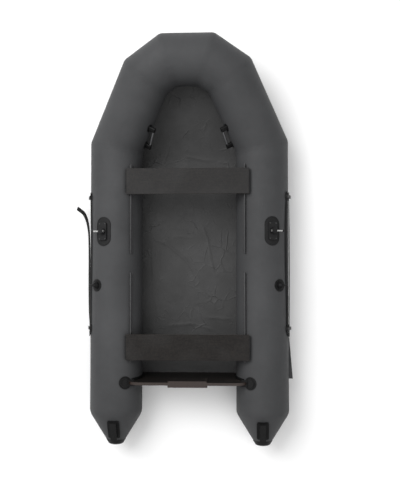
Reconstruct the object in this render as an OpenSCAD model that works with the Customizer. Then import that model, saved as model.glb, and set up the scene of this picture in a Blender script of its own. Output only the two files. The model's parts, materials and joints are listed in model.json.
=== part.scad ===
// Inflatable motor dinghy: raised bow, tapered stern cones, plywood transom,
// two sliding benches and swivelling rowlocks.
// +X is starboard, +Y is the bow, +Z is up. The hull stands on z = 0, centred on x = 0 and y = 0.

/* [Hull] */
// Diameter of the inflated buoyancy tubes
tube_d = 370; // [350:2:380]
// Thickness of the coated tube fabric
wall = 1.2; // [1.0:0.1:2]
// Distance between the centre lines of the two side tubes
tube_spacing = 1040; // [1020:5:1060]
// Overall length from the cone tips to the bow
boat_l = 2900; // [2860:5:2940]
// How far the front bow tube is raised above the side tubes
bow_rise = 150; // [120:5:170]
// Length of each tapered stern cone, without its rounded tip
cone_l = 205; // [195:1:215]
// Radius of the small end of each stern cone
cone_end_r = 58; // [54:1:62]

/* [Transom] */
// Backward rake of the transom board, in degrees
rake = 7; // [5:0.5:9]
// Thickness of the transom plywood
transom_t = 20; // [18:1:22]
// Height of the transom's top edge above the ground
transom_top = 380; // [370:1:390]
// Width of the motor clamping pads
pad_w = 275; // [240:5:300]

/* [Benches] */
// Length of each bench board, across the boat
bench_w = 865; // [850:1:870]
// Fore-and-aft width of each bench board
bench_d = 180; // [160:2:200]
// Thickness of each bench board
bench_t = 12; // [10:1:15]
// Length of each seat rail
rail_l = 625; // [610:1:640]
// Length of the slider under each bench end
slider_l = 140; // [120:5:160]

/* [Fittings] */
// Width of the webbing grab straps
strap_w = 28; // [24:1:30]
// Radius of the rowlock pins
rowlock_pin_r = 5.5; // [5:0.1:6]
// Radius of the peg on each oar holder
oar_peg_r = 6; // [5:0.1:7]

/* [Hidden] */
$fn = 96;
tube_r = tube_d / 2;
tube_x = tube_spacing / 2;
tube_z = tube_r;
glue = 0.05;             // gap left between a glued patch and the tube under it
cut = 20;                // overshoot of a cutting tool
long = 600;              // length of a tool that cuts right through a fitting

// Corners of the tube centre line on the starboard side, stern to bow
tip_l = 25;              // rounding of the cone tips
bow_run = 602;           // length over which the side tubes bend in to the bow
shoulder_in = 223;       // how far in, back from the bow, and up the shoulder corner lies
shoulder_back = 112;
shoulder_rise = 0.8;     // share of the bow's rise that the shoulder has
nose_x = 132;            // half length of the front tube, between its corners
cone_y = -boat_l / 2 + cone_l + tip_l;
bow_y = boat_l / 2 - tube_r;
p_stern = [tube_x, cone_y, tube_z];
p_side = [tube_x, bow_y - bow_run, tube_z];
p_shoulder = [tube_x - shoulder_in, bow_y - shoulder_back, tube_z + shoulder_rise * bow_rise];
p_nose = [nose_x, bow_y, tube_z + bow_rise];
p_nose_port = [-nose_x, bow_y, tube_z + bow_rise];

// Floor: tangent line where the bottom fabric meets the tubes
floor_angle = 40;
floor_in = tube_r * sin(floor_angle);
floor_z = tube_z - tube_r * cos(floor_angle);
floor_t = 1.2;
floor_band = 28;         // angle from the bottom where the glued edge band ends
floor_behind = 12;       // how far the floor goes on behind the transom

// Transom: local y = 0 is the board's inner face, local z = 0 its foot
transom_y = -952.6;
board_h = (transom_top - floor_z) / cos(rake);
shoulder_w = 320;        // half width of the flat top edge
end_w = 408;             // half width where the ends reach the tubes
end_drop = 47;           // how far the top edge drops at its ends
pad_out_t = 15;
pad_in_t = 10;
pad_out_h = 150;
pad_in_h = 110;
bolt_r = 3;
bolt_x = 95;
bolt_drops = [32, 82];   // below the top edge
bolt_head = [7.5, 3];    // radius and height of the heads and nuts, sunk in the pads
bolt_nut = [5.6, 5];
bolt_sink = 0.4;         // how deep they lie under the pads' faces
bolt_room = 0.6;         // space round them
holder_y = -1000;
holder_angle = -27.5;
holder_r = 45;
holder_t = 4;
holder_block = [46, 44, 16];
channel_flange = 16;     // transom channels: flange beside the board, and depth out from the tube
channel_t = 9;
channel_span = [44, 135]; // from the top of the tube round to its underside

// Seat rails and benches
rail_x = 398;
bead_r = 5;
bead_z = 345;
neck_t = 3;
rail_y = [-546, 212.5];  // middle of the aft and fore rails
bench_y = [-753, 404];   // middle of the aft and fore benches
bench_z = 362;           // underside of the boards
slider_w = 20;
slider_z = 339;
slider_bore_r = 5.7;
slider_slot = 4.6;
flange_w = 46;
flange_t = 3;
screw_r = 2;
screw_dx = 17;
screw_dy = 45;
screw_head_r = 4;
screw_head_h = 2.2;
screw_l = 8;

// Rowlocks, in the frame of the tube's surface
rowlock_y = 54;
rowlock_angle = 22;
rowlock_base_h = 16;
rowlock_bore_r = 12.06;
rowlock_stem_r = 12;
rowlock_pin_h = 33;      // height of the pin above the tube
rowlock_body = [34, 30];
rowlock_pin_end = 74;
knob_r = 8.5;
knob_l = 15;

// Oar holders
oar_y = -323;
oar_angle = 40.4;
oar_pad_r = 43.5;
oar_peg_h = 22;
oar_peg_end = 46;
oar_collar = [9, 20];    // radius and reach of the collar that the peg stands out of
oar_peg_chamfer = 1;

// Bow carry handles
handle_at = 171;         // along the bow tube from its aft corner
handle_angle = -78;
handle_turn = -22;
handle_gap = 34;         // grip centre above the tube
handle_span = 136;       // between the feet
grip_r = 6;

// Stern handles
stern_handle_w = 84;
stern_handle_l = 150;
stern_handle_h = 34;
stern_handle_at = 96;    // along the cone's surface from its large end

// Inflation valves, under the aft bench
valve_y = -753;
valve_angle = -72;
valve_barrel_r = 21.9;
valve_rod_r = 4;

// Strap anchors
anchor_y = [-625, 302];
anchor_angle = 76;
anchor_w = 100;
anchor_l = 54;
anchor_bar_h = 8.5;

// Side flap: its aft and fore ends, and how far it stands out
flap_y = [-979, -690];
flap_stand = 27;

// Towing ring
tow_angle = 125;
tow_pivot = 10;          // pivot above the tube
tow_bar_r = 3;
tow_w = 44;
tow_l = 46;

// Routes of the grab straps: [y, angle from the top, height over the tube, twist]
strap_route_starboard = [
    [336, 84.5, 5, 0], [302, 84.5, 5, 0], [230, 84.5, 5, 2], [80, 84, 6, 5], [-120, 84, 6, 6],
    [-320, 84, 6, 5], [-500, 84, 5, 3], [-625, 84.5, 5, 0], [-658, 83, 6, 0], [-670, 76, 7, 0],
    [-658, 69, 6, 0], [-625, 67.5, 5, 0], [-480, 67, 4, 0], [-200, 63, 4, 0], [60, 62, 4, 0],
    [220, 65, 4, 0], [302, 67.5, 5, 0], [336, 67.5, 5, 0]
];
strap_route_port = [
    [336, 67.5, 5, 0], [302, 67.5, 5, 0], [220, 66, 4, 0], [60, 64, 4, 0], [-200, 64, 4, 0],
    [-480, 67, 4, 0], [-625, 67.5, 5, 0], [-658, 69, 6, 0], [-670, 76, 7, 0], [-658, 83, 6, 0],
    [-625, 84.5, 5, 0], [-500, 84.5, 8, 20], [-320, 84.5, 9, 28], [-120, 85, 9, 30], [20, 86, 12, 32],
    [93, 89, 20, 40], [150, 94, 36, 52], [195, 99, 64, 66], [223, 103, 104, 72], [237, 106, 130, 76]
];
strap_steps = 2;
strap_t = 2.4;

// ---- Helpers ----

function unit(v) = v / norm(v);
function arc(c, r, from, to, n) =
    [for (i = [0:n]) c + r * [cos(from + (to - from) * i / n), sin(from + (to - from) * i / n)]];
function rounded(w, l, r, n = 5) = concat(
    arc([w / 2 - r, l / 2 - r], r, 0, 90, n), arc([-w / 2 + r, l / 2 - r], r, 90, 180, n),
    arc([-w / 2 + r, -l / 2 + r], r, 180, 270, n), arc([w / 2 - r, -l / 2 + r], r, 270, 360, n));

// Draws a starboard piece on the side asked for: 1 starboard, -1 port
module on_side(side) {
    if (side > 0) children();
    else mirror([1, 0, 0]) children();
}

// Turns +Z to run along u, at p
module aim(p, u) {
    translate(p) rotate([0, acos(u[2] / norm(u)), atan2(u[1], u[0])]) children();
}

// Frame of a side tube's surface: +Z leaves the tube at the angle from its top, +Y is forward
module on_tube(y, angle) {
    translate([tube_x, y, tube_z]) rotate([0, angle, 0]) children();
}

// Frame of the starboard bow tube's surface, from its aft corner
module on_bow_tube(along, angle) {
    u = unit(p_shoulder - p_side);
    side = unit(cross(u, [0, 0, 1]));
    up = cross(side, u);
    n = cos(angle) * up + sin(angle) * side;
    x = cross(u, n);
    p = p_side + along * u;
    multmatrix([[x[0], u[0], n[0], p[0]], [x[1], u[1], n[1], p[1]], [x[2], u[2], n[2], p[2]], [0, 0, 0, 1]])
        children();
}

// Solid or hollow cylinder along local Y, centred on the tube's axis
module tube_bar(r, l) {
    rotate([90, 0, 0]) cylinder(r = r, h = l, center = true);
}

// Patch of thickness t that follows the tube, with the outline given as children
module patch(t, l) {
    intersection() {
        difference() {
            tube_bar(tube_r + t, l);
            tube_bar(tube_r + glue, l + cut);
        }
        linear_extrude(2 * tube_r) children();
    }
}

// Upright block on the tube's surface, with the outline given as children
module block_on_tube(h, under) {
    difference() {
        translate([0, 0, 0.8 * tube_r]) linear_extrude(0.2 * tube_r + h) children();
        tube_bar(tube_r + under, long);
    }
}

// ---- Hull ----

// Removes everything on the side of the plane that n points to
module beyond(p, n) {
    aim(p, n) translate([-tube_d, -tube_d, 0]) cube([2 * tube_d, 2 * tube_d, 1.5 * tube_d]);
}

// Fabric tube from p to q, mitred at both ends against the neighbouring directions
module tube_section(p, q, u_before, u_after) {
    u = unit(q - p);
    spare = tube_d * 0.6;
    difference() {
        aim(p - spare * u, u) difference() {
            cylinder(r = tube_r, h = norm(q - p) + 2 * spare);
            translate([0, 0, -cut]) cylinder(r = tube_r - wall, h = norm(q - p) + 2 * spare + 2 * cut);
        }
        beyond(p, -(u_before + u));
        beyond(q, u + u_after);
    }
}

u_side = [0, 1, 0];
u_bow = unit(p_shoulder - p_side);
u_corner = unit(p_nose - p_shoulder);
u_front = [-1, 0, 0];

module side_tube() {
    color("dimgray") difference() {
        tube_section(p_stern, p_side, u_side, u_bow);
        on_tube(valve_y, valve_angle) cylinder(r = valve_barrel_r + 0.1, h = 2 * tube_r);
    }
}

module bow_tube() {
    color("dimgray") tube_section(p_side, p_shoulder, u_side, u_corner);
}

module bow_corner_tube() {
    color("dimgray") tube_section(p_shoulder, p_nose, u_bow, u_front);
}

module bow_front_tube() {
    color("dimgray") tube_section(p_nose, p_nose_port, u_corner, [u_corner[0], -u_corner[1], -u_corner[2]]);
}

module bow_bulkhead() {
    color("gray") translate([-wall / 2, bow_y, tube_z + bow_rise]) rotate([0, 90, 0])
        cylinder(r = tube_r - wall, h = wall);
}

module stern_cone() {
    color("dimgray") translate(p_stern) rotate([90, 0, 0]) difference() {
        cylinder(r1 = tube_r, r2 = cone_end_r, h = cone_l);
        translate([0, 0, -0.001]) cylinder(r1 = tube_r - wall, r2 = cone_end_r - wall, h = cone_l + 0.002);
    }
}

// Moulded cap closing the cone's small end, with a skirt over the fabric
module cone_tip() {
    slope = (tube_r - cone_end_r) / cone_l;
    skirt = 14;
    cap_t = 3;
    n = 8;
    dome = arc([0, 0], 1, 0, 90, n);
    outer = [for (i = [0:n]) [cone_end_r * pow(dome[i][0], 0.7) + (i == 0 ? cap_t - 0.5 : 0), cone_l + tip_l * dome[i][1]]];
    inner = [for (i = [n:-1:0]) [(cone_end_r - cap_t) * pow(dome[i][0], 0.7), cone_l + (tip_l - cap_t) * dome[i][1]]];
    color("black") translate(p_stern) rotate([90, 0, 0]) rotate_extrude() polygon(concat(
        [[cone_end_r + 0.05, cone_l], [cone_end_r + skirt * slope + 0.05, cone_l - skirt],
         [cone_end_r + skirt * slope + cap_t - 0.8, cone_l - skirt]], outer, inner));
}

// ---- Floor ----

// Plan position of the floor's edge inside the corner between two tube directions
function inset_corner(p, u1, u2) =
    let (n1 = unit([u1[1], -u1[0]]), n2 = unit([u2[1], -u2[0]]))
    [p[0], p[1]] - floor_in * (n1 + n2) / (1 + n1 * n2);

floor_side = inset_corner(p_side, u_side, u_bow);
floor_shoulder = inset_corner(p_shoulder, u_bow, u_corner);
floor_nose = inset_corner(p_nose, u_corner, u_front);

module floor_panel() {
    aft = transom_y - transom_t - floor_behind;
    band = [floor_band, floor_angle];
    color("gray") {
        translate([0, 0, floor_z - floor_t])
            linear_extrude(floor_t) polygon([[-floor_side[0], aft], [floor_side[0], aft],
                floor_side, [-floor_side[0], floor_side[1]]]);
        for (side = [-1, 1]) on_side(side) translate([tube_x, 0, tube_z]) rotate([90, 0, 0])
            translate([0, 0, -floor_side[1]]) linear_extrude(floor_side[1] - aft) difference() {
                polygon([[0, 0], 2 * tube_r * [-sin(band[0]), -cos(band[0])],
                    2 * tube_r * [-sin(band[1]), -cos(band[1])]]);
                circle(r = tube_r + glue);
                difference() {
                    circle(r = 3 * tube_r);
                    circle(r = tube_r + floor_t);
                }
            }
    }
}

// Sloping plate between two level edges
module ramp(a, b, za, zb) {
    run = b[1] - a[1];
    slope = atan2(zb - za, run);
    translate([0, a[1], za]) rotate([slope, 0, 0]) translate([0, 0, -floor_t]) linear_extrude(floor_t)
        polygon([[-a[0], 0], [a[0], 0], [b[0], run / cos(slope)], [-b[0], run / cos(slope)]]);
}

// Solid tube from p to q and a little past both, to cut room for the real one
module tube_room(p, q) {
    aim(p - cut * unit(q - p), q - p) cylinder(r = tube_r + glue, h = norm(q - p) + 2 * cut);
}

module bow_floor_panel() {
    color("gray") difference() {
        union() {
            ramp(floor_side, floor_shoulder, floor_z, floor_z + p_shoulder[2] - tube_z);
            ramp(floor_shoulder, floor_nose, floor_z + p_shoulder[2] - tube_z, floor_z + bow_rise);
        }
        for (side = [-1, 1]) on_side(side) {
            tube_room(p_side - cut * u_side, p_side);
            tube_room(p_side, p_shoulder);
            tube_room(p_shoulder, p_nose);
        }
        tube_room(p_nose, p_nose_port);
    }
}

// ---- Seat rails ----

module rail_section() {
    half = 5.3;
    angle = asin((tube_x - rail_x) / tube_r);
    difference() {
        intersection() {
            translate([tube_x, tube_z]) circle(r = tube_r + 2);
            translate([tube_x, tube_z]) polygon([[0, 0],
                2 * tube_r * [-sin(angle - half), cos(angle - half)],
                2 * tube_r * [-sin(angle + half), cos(angle + half)]]);
        }
        translate([tube_x, tube_z]) circle(r = tube_r + glue);
    }
    difference() {
        translate([rail_x - neck_t / 2, tube_z]) square([neck_t, bead_z - tube_z]);
        translate([tube_x, tube_z]) circle(r = tube_r + 1);
    }
    translate([rail_x, bead_z]) circle(r = bead_r);
}

module seat_rails(side) {
    color("lightgray") on_side(side) for (y = rail_y)
        translate([0, y + rail_l / 2, 0]) rotate([90, 0, 0]) linear_extrude(rail_l) rail_section();
}

// ---- Transom ----

module on_transom() {
    translate([0, transom_y, floor_z]) rotate([rake, 0, 0]) children();
}

// Plate standing on the transom's frame, from local y0 to y1
module transom_plate(y0, y1) {
    on_transom() translate([0, y1, 0]) rotate([90, 0, 0]) linear_extrude(y1 - y0) children();
}

function board_edge(side) = [for (a = side > 0 ? [90:-15:0] : [0:15:90])
    [side * (shoulder_w + (end_w - shoulder_w) * sin(a)), board_h - end_drop * (1 - cos(a))]];

// Places a bolt's tools on its axis: z = 0 on the inner pad's face, +Z aft
module at_bolts() {
    for (x = [-bolt_x, bolt_x], d = bolt_drops) on_transom() translate([x, pad_in_t, board_h - d])
        rotate([90, 0, 0]) children();
}

bolt_l = transom_t + pad_out_t + pad_in_t;
bolt_clear = 0.2;

// Holes for the bolts, with counterbores for the heads and nuts
module bolt_holes() {
    nut_depth = bolt_nut[1] + bolt_sink;
    head_depth = bolt_head[1] + bolt_sink;
    at_bolts() {
        translate([0, 0, -cut]) cylinder(r = bolt_r + bolt_clear, h = bolt_l + 2 * cut);
        translate([0, 0, -cut]) cylinder(r = bolt_nut[0] + bolt_room, h = nut_depth + cut);
        translate([0, 0, bolt_l - head_depth]) cylinder(r = bolt_head[0] + bolt_room, h = head_depth + cut);
    }
}

module transom_board() {
    color([0.2, 0.14, 0.12]) difference() {
        transom_plate(-transom_t, 0)
            polygon(concat([[-end_w, -cut], [end_w, -cut]], board_edge(1), board_edge(-1)));
        translate([-tube_x, transom_y - long / 2, floor_z - 2 * cut]) cube([tube_spacing, long, 2 * cut]);
        for (side = [-1, 1]) on_side(side) translate([tube_x, transom_y, tube_z]) tube_bar(tube_r + 0.2, long);
        bolt_holes();
    }
}

module motor_pad(y0, y1, h) {
    difference() {
        transom_plate(y0, y1) translate([0, board_h - h / 2]) polygon(rounded(pad_w, h, 10));
        bolt_holes();
    }
}

module motor_pad_outer() {
    color("saddlebrown") motor_pad(-transom_t - pad_out_t, -transom_t, pad_out_h);
}

module motor_pad_inner() {
    color([0.15, 0.15, 0.15]) motor_pad(0, pad_in_t, pad_in_h);
}

module motor_pad_bolts() {
    color("silver") at_bolts() {
        translate([0, 0, bolt_sink]) cylinder(r = bolt_r, h = bolt_l - 2 * bolt_sink);
        translate([0, 0, bolt_sink]) cylinder(r = bolt_nut[0], h = bolt_nut[1], $fn = 6);
        translate([0, 0, bolt_l - bolt_sink - bolt_head[1]]) cylinder(r = bolt_head[0], h = bolt_head[1]);
    }
}

// Glued channel that grips the board's end, and the round pad with a forked lug above it
module transom_holder() {
    board_gap = 0.1;
    color("black") {
        difference() {
            intersection() {
                transom_plate(-transom_t - channel_flange, channel_flange) square(2 * long, center = true);
                translate([tube_x, transom_y, tube_z]) rotate([90, 0, 0]) linear_extrude(long, center = true)
                    difference() {
                        polygon([[0, 0], for (a = [channel_span[0], 90, channel_span[1]])
                            2 * tube_r * [-sin(a), cos(a)]]);
                        circle(r = tube_r + glue);
                        difference() {
                            circle(r = long);
                            circle(r = tube_r + channel_t);
                        }
                    }
            }
            transom_plate(-transom_t - board_gap, board_gap) square(2 * long, center = true);
        }
        difference() {
            on_tube(holder_y, holder_angle) {
                patch(holder_t, long) circle(r = holder_r);
                block_on_tube(10, 3) circle(r = holder_r - 13);
                block_on_tube(holder_block[2], 3) translate([-38, 0])
                    square([holder_block[0], holder_block[1]], center = true);
            }
            transom_plate(-transom_t - board_gap, board_gap) translate([end_w - 40, 0])
                square([80, 4 * end_w], center = true);
        }
    }
}

// ---- Rowlocks ----

module rowlock_base() {
    color([0.2, 0.2, 0.2]) on_tube(rowlock_y, rowlock_angle) {
        difference() {
            union() {
                patch(4, long) polygon(rounded(110, 204, 54.9, 10));
                block_on_tube(rowlock_base_h, 3) polygon(rounded(62, 124, 14));
            }
            translate([0, 0, tube_r + 5]) cylinder(r = rowlock_bore_r, h = 2 * rowlock_base_h);
        }
    }
}

module rowlock_swivel() {
    top = tube_r + rowlock_pin_h + 14;
    foot = tube_r + rowlock_base_h + 0.3;
    color("black") on_tube(rowlock_y, rowlock_angle) difference() {
        union() {
            translate([0, 0, tube_r + 6]) cylinder(r = rowlock_stem_r, h = rowlock_base_h);
            translate([0, 0, foot]) cylinder(r = 25, h = 5);
            translate([0, 0, foot + 4]) cylinder(r1 = 21, r2 = 18, h = 3.5);
            translate([0, 0, foot + 4]) linear_extrude(top - foot - 4)
                polygon(rounded(rowlock_body[0], rowlock_body[1], 6));
        }
        translate([0, 0, tube_r + rowlock_pin_h]) rotate([0, 90, 0])
            cylinder(r = rowlock_pin_r, h = 60, center = true);
    }
}

module rowlock_pin() {
    color("silver") on_tube(rowlock_y, rowlock_angle) translate([0, 0, tube_r + rowlock_pin_h]) rotate([0, 90, 0]) {
        translate([0, 0, -rowlock_body[0] / 2 - 3]) cylinder(r = rowlock_pin_r, h = rowlock_pin_end + rowlock_body[0] / 2 + 3);
        translate([0, 0, -rowlock_body[0] / 2 - 5]) cylinder(r = 9, h = 4.9);
    }
}

module rowlock_knob() {
    color("black") on_tube(rowlock_y, rowlock_angle)
        translate([rowlock_pin_end - knob_l + 3, 0, tube_r + rowlock_pin_h]) rotate([0, 90, 0]) difference() {
            rotate_extrude() polygon(concat([[0, 0], [knob_r - 2, 0]],
                arc([knob_r - 2, 2], 2, -90, 0, 3), arc([0, knob_l - knob_r], knob_r, 0, 90, 8)));
            translate([0, 0, -1]) cylinder(r = rowlock_pin_r + 0.05, h = knob_l - 1.9);
        }
}

// ---- Oar holders ----

module oar_holder() {
    color("black") on_tube(oar_y, oar_angle) {
        patch(3, long) circle(r = oar_pad_r);
        block_on_tube(14, 2) circle(r = 25);
        translate([0, 0, tube_r + 13.9]) cylinder(r1 = 20, r2 = 13, h = 16);
        translate([0, 0, tube_r + oar_peg_h]) rotate([0, 90, 0]) {
            cylinder(r = oar_collar[0], h = oar_collar[1]);
            cylinder(r = oar_peg_r, h = oar_peg_end - oar_peg_chamfer);
            translate([0, 0, oar_peg_end - oar_peg_chamfer])
                cylinder(r1 = oar_peg_r, r2 = oar_peg_r - oar_peg_chamfer, h = oar_peg_chamfer);
        }
    }
}

// ---- Carry handles ----

module bow_handle_feet() {
    color("black") on_bow_tube(handle_at, handle_angle) for (end = [-1, 1]) difference() {
        union() {
            patch(3, long) rotate([0, 0, handle_turn]) translate([0, end * handle_span / 2]) polygon(rounded(46, 56, 20));
            block_on_tube(handle_gap + 9, 2) rotate([0, 0, handle_turn]) translate([0, end * handle_span / 2])
                polygon(rounded(24, 36, 9));
        }
        rotate([0, 0, handle_turn]) translate([0, 0, tube_r + handle_gap]) tube_bar(grip_r, handle_span - 12);
    }
}

module bow_handle_grip() {
    color("silver") on_bow_tube(handle_at, handle_angle) rotate([0, 0, handle_turn])
        translate([0, 0, tube_r + handle_gap]) tube_bar(grip_r, handle_span - 12);
}

// Moulded grab handle on the top of the cone: base, two ends and the grip between them
module stern_handle() {
    slope = atan((tube_r - cone_end_r) / cone_l);
    color("black") difference() {
        translate(p_stern + [0, 0, tube_r]) rotate([slope, 0, 0]) translate([0, -stern_handle_at - 32, 0]) difference() {
            translate([0, 0, -40]) linear_extrude(40 + stern_handle_h)
                polygon(rounded(stern_handle_w, stern_handle_l, 14));
            translate([-stern_handle_w, -stern_handle_l / 2 + 20, 6])
                cube([2 * stern_handle_w, stern_handle_l - 40, stern_handle_h - 15]);
            for (side = [-1, 1]) translate([side * (stern_handle_w / 2 + 4), 0, stern_handle_h + 6])
                cube([48, stern_handle_l + 2, 2 * stern_handle_h], center = true);
        }
        translate(p_stern) rotate([90, 0, 0])
            cylinder(r1 = tube_r + glue, r2 = cone_end_r + glue, h = cone_l);
        translate(p_stern) rotate([-90, 0, 0]) cylinder(r = tube_r + glue, h = 200);
        translate(p_stern) rotate([90, 0, 0]) translate([0, 0, cone_l - 15]) cylinder(r = cone_end_r + 14, h = 60);
    }
}

// ---- Valves, drawn along +Z out of the tube, z = 0 on its surface ----

module on_valve() {
    on_tube(valve_y, valve_angle) translate([0, 0, tube_r]) children();
}

module valve_body() {
    color([0.15, 0.15, 0.15]) on_valve() difference() {
        union() {
            translate([0, 0, 0.3]) cylinder(r = 31, h = 4.7);
            translate([0, 0, -22]) cylinder(r = valve_barrel_r, h = 24);
            translate([0, 0, 4]) cylinder(r = 23, h = 7);
        }
        translate([0, 0, -14]) cylinder(r = 17, h = 40);
        translate([0, 0, -30]) cylinder(r = valve_rod_r + 0.06, h = 40);
        for (a = [45:90:315]) rotate([0, 0, a]) translate([9.5, 0, -30]) cylinder(r = 3, h = 40);
    }
}

module valve_stem() {
    color("white") on_valve() {
        translate([0, 0, -26]) cylinder(r = valve_rod_r, h = 30);
        translate([0, 0, -26]) cylinder(r = 15, h = 3.7);
        translate([0, 0, 1]) cylinder(r = 7, h = 4);
    }
}

module valve_cap() {
    color("black") on_valve() difference() {
        translate([0, 0, 5.3]) rotate_extrude()
            polygon(concat([[0, 0], [27, 0]], arc([23, 7], 4, 0, 90, 5), [[0, 11]]));
        translate([0, 0, 5]) cylinder(r = 23.4, h = 7.5);
    }
}

// ---- Grab straps ----

module strap_anchor(i) {
    color("black") on_tube(anchor_y[i], anchor_angle) {
        patch(2.5, long) polygon(rounded(anchor_w, anchor_l, 12));
        difference() {
            block_on_tube(anchor_bar_h + 4, 1.5) square([anchor_w - 2, 22], center = true);
            translate([0, 0, anchor_bar_h + tube_r - 50]) cube([anchor_w - 14, anchor_l, 100], center = true);
        }
        translate([0, 0, tube_r + anchor_bar_h + 2]) cube([anchor_w - 2, 22, 4], center = true);
    }
}

// Point of a strap's route, with the direction its flat side faces: [position, normal]
function on_route(r) = let (a = r[1], rr = tube_r + r[2], f = r[1] - r[3])
    [[tube_x + rr * sin(a), r[0], tube_z + rr * cos(a)], [sin(f), 0, cos(f)]];
function spline(a, b, c, d, t) =
    0.5 * (2 * b + (c - a) * t + (2 * a - 5 * b + 4 * c - d) * t * t + (3 * b - a - 3 * c + d) * t * t * t);
function smooth(route, steps) = let (n = len(route) - 1) [
    for (i = [0:n - 1], k = [0:steps - 1])
        on_route(spline(route[max(i - 1, 0)], route[i], route[i + 1], route[min(i + 2, n)], k / steps)),
    on_route(route[n])];

module strap(route) {
    path = smooth(route, strap_steps);
    last = len(path) - 1;
    w = strap_w / 2;
    t = strap_t / 2;
    section = [[w, t / 2], [w - 1, t], [1 - w, t], [-w, t / 2], [-w, -t / 2], [1 - w, -t], [w - 1, -t], [w, -t / 2]];
    n = len(section);
    rings = [for (i = [0:last]) let (
        along = unit(path[min(i + 1, last)][0] - path[max(i - 1, 0)][0]),
        across = unit(cross(along, path[i][1])),
        face = cross(across, along))
        for (s = section) path[i][0] + s[0] * across + s[1] * face];
    polyhedron(rings, concat(
        [[for (k = [0:n - 1]) k]],
        [for (i = [0:last - 1], k = [0:n - 1]) [i * n + k, (i + 1) * n + k, (i + 1) * n + (k + 1) % n]],
        [for (i = [0:last - 1], k = [0:n - 1]) [i * n + k, (i + 1) * n + (k + 1) % n, i * n + (k + 1) % n]],
        [[for (k = [n - 1:-1:0]) last * n + k]]), convexity = 6);
}

module grab_strap(side) {
    color([0.1, 0.1, 0.1]) on_side(side) strap(side > 0 ? strap_route_starboard : strap_route_port);
}

// ---- Side flap ----

module side_flap() {
    corner = 10;
    color("dimgray") difference() {
        translate([tube_x, 0, tube_z - wall]) linear_extrude(wall) polygon(concat(
            [[tube_r - flap_stand, flap_y[1]], [tube_r - flap_stand, flap_y[0]]],
            arc([tube_r + flap_stand - corner, flap_y[0] + corner], corner, -90, 0, 4), [[tube_r + 1, flap_y[1]]]));
        translate([tube_x, 0, tube_z]) tube_bar(tube_r + glue, boat_l);
    }
}

// ---- Towing ring ----

module on_nose() {
    translate([0, bow_y, tube_z + bow_rise]) rotate([-tow_angle, 0, 0]) children();
}

module tow_ring_patch() {
    lug = [26, 22];
    color("black") on_nose() difference() {
        union() {
            intersection() {
                rotate([0, 90, 0]) cylinder(r = tube_r + 3, h = long, center = true);
                cylinder(r = 42, h = long);
            }
            translate([-lug[0] / 2, -lug[1] / 2, 0.9 * tube_r]) cube([lug[0], lug[1], 0.1 * tube_r + tow_pivot]);
            translate([-lug[0] / 2, 0, tube_r + tow_pivot]) rotate([0, 90, 0]) cylinder(r = lug[1] / 2, h = lug[0]);
        }
        rotate([0, 90, 0]) cylinder(r = tube_r + glue, h = long, center = true);
        translate([0, 0, tube_r + tow_pivot]) rotate([0, 90, 0])
            cylinder(r = tow_bar_r + 0.08, h = tow_w, center = true);
    }
}

// D-shaped ring, hanging straight down from its bar
module tow_ring() {
    pivot = [0, bow_y + (tube_r + tow_pivot) * sin(tow_angle), tube_z + bow_rise + (tube_r + tow_pivot) * cos(tow_angle)];
    color("silver") translate(pivot) {
        rotate([0, 90, 0]) cylinder(r = tow_bar_r, h = tow_w, center = true);
        for (x = [-tow_w / 2, tow_w / 2]) {
            translate([x, 0, -tow_l + tow_w / 2]) cylinder(r = tow_bar_r, h = tow_l - tow_w / 2);
            translate([x, 0, 0]) sphere(r = tow_bar_r);
        }
        translate([0, 0, -tow_l + tow_w / 2]) rotate([-90, 0, 0])
            rotate_extrude(angle = 180) translate([tow_w / 2, 0]) circle(r = tow_bar_r);
    }
}

// ---- Benches ----

module at_bench(i) {
    translate([0, bench_y[i], 0]) children();
}

module at_screws() {
    for (side = [-1, 1], dx = [-screw_dx, screw_dx], dy = [-screw_dy, screw_dy])
        translate([side * rail_x + dx, dy, bench_z]) children();
}

module bench_board(i) {
    color([0.17, 0.16, 0.15]) at_bench(i) difference() {
        translate([0, 0, bench_z]) linear_extrude(bench_t) polygon(rounded(bench_w, bench_d, 10));
        at_screws() translate([0, 0, -1]) cylinder(r = screw_r, h = screw_l);
    }
}

module bench_sliders(i) {
    color("black") at_bench(i) for (side = [-1, 1]) on_side(side) difference() {
        translate([0, slider_l / 2, 0]) rotate([90, 0, 0]) linear_extrude(slider_l) difference() {
            union() {
                translate([rail_x - slider_w / 2, slider_z]) square([slider_w, bench_z - slider_z]);
                translate([rail_x - flange_w / 2, bench_z - flange_t]) square([flange_w, flange_t]);
            }
            translate([rail_x, bead_z]) circle(r = slider_bore_r);
            translate([rail_x - slider_slot / 2, slider_z - 1]) square([slider_slot, bead_z - slider_z + 1]);
        }
        at_screws() translate([0, 0, -cut]) cylinder(r = screw_r + 0.2, h = 2 * cut);
    }
}

module bench_screws(i) {
    color("silver") at_bench(i) at_screws() {
        translate([0, 0, -flange_t]) cylinder(r = screw_r, h = flange_t + screw_l - 2);
        translate([0, 0, -flange_t - screw_head_h]) cylinder(r1 = screw_head_r - 1, r2 = screw_head_r, h = screw_head_h);
    }
}

// ---- Nodes ----

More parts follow.
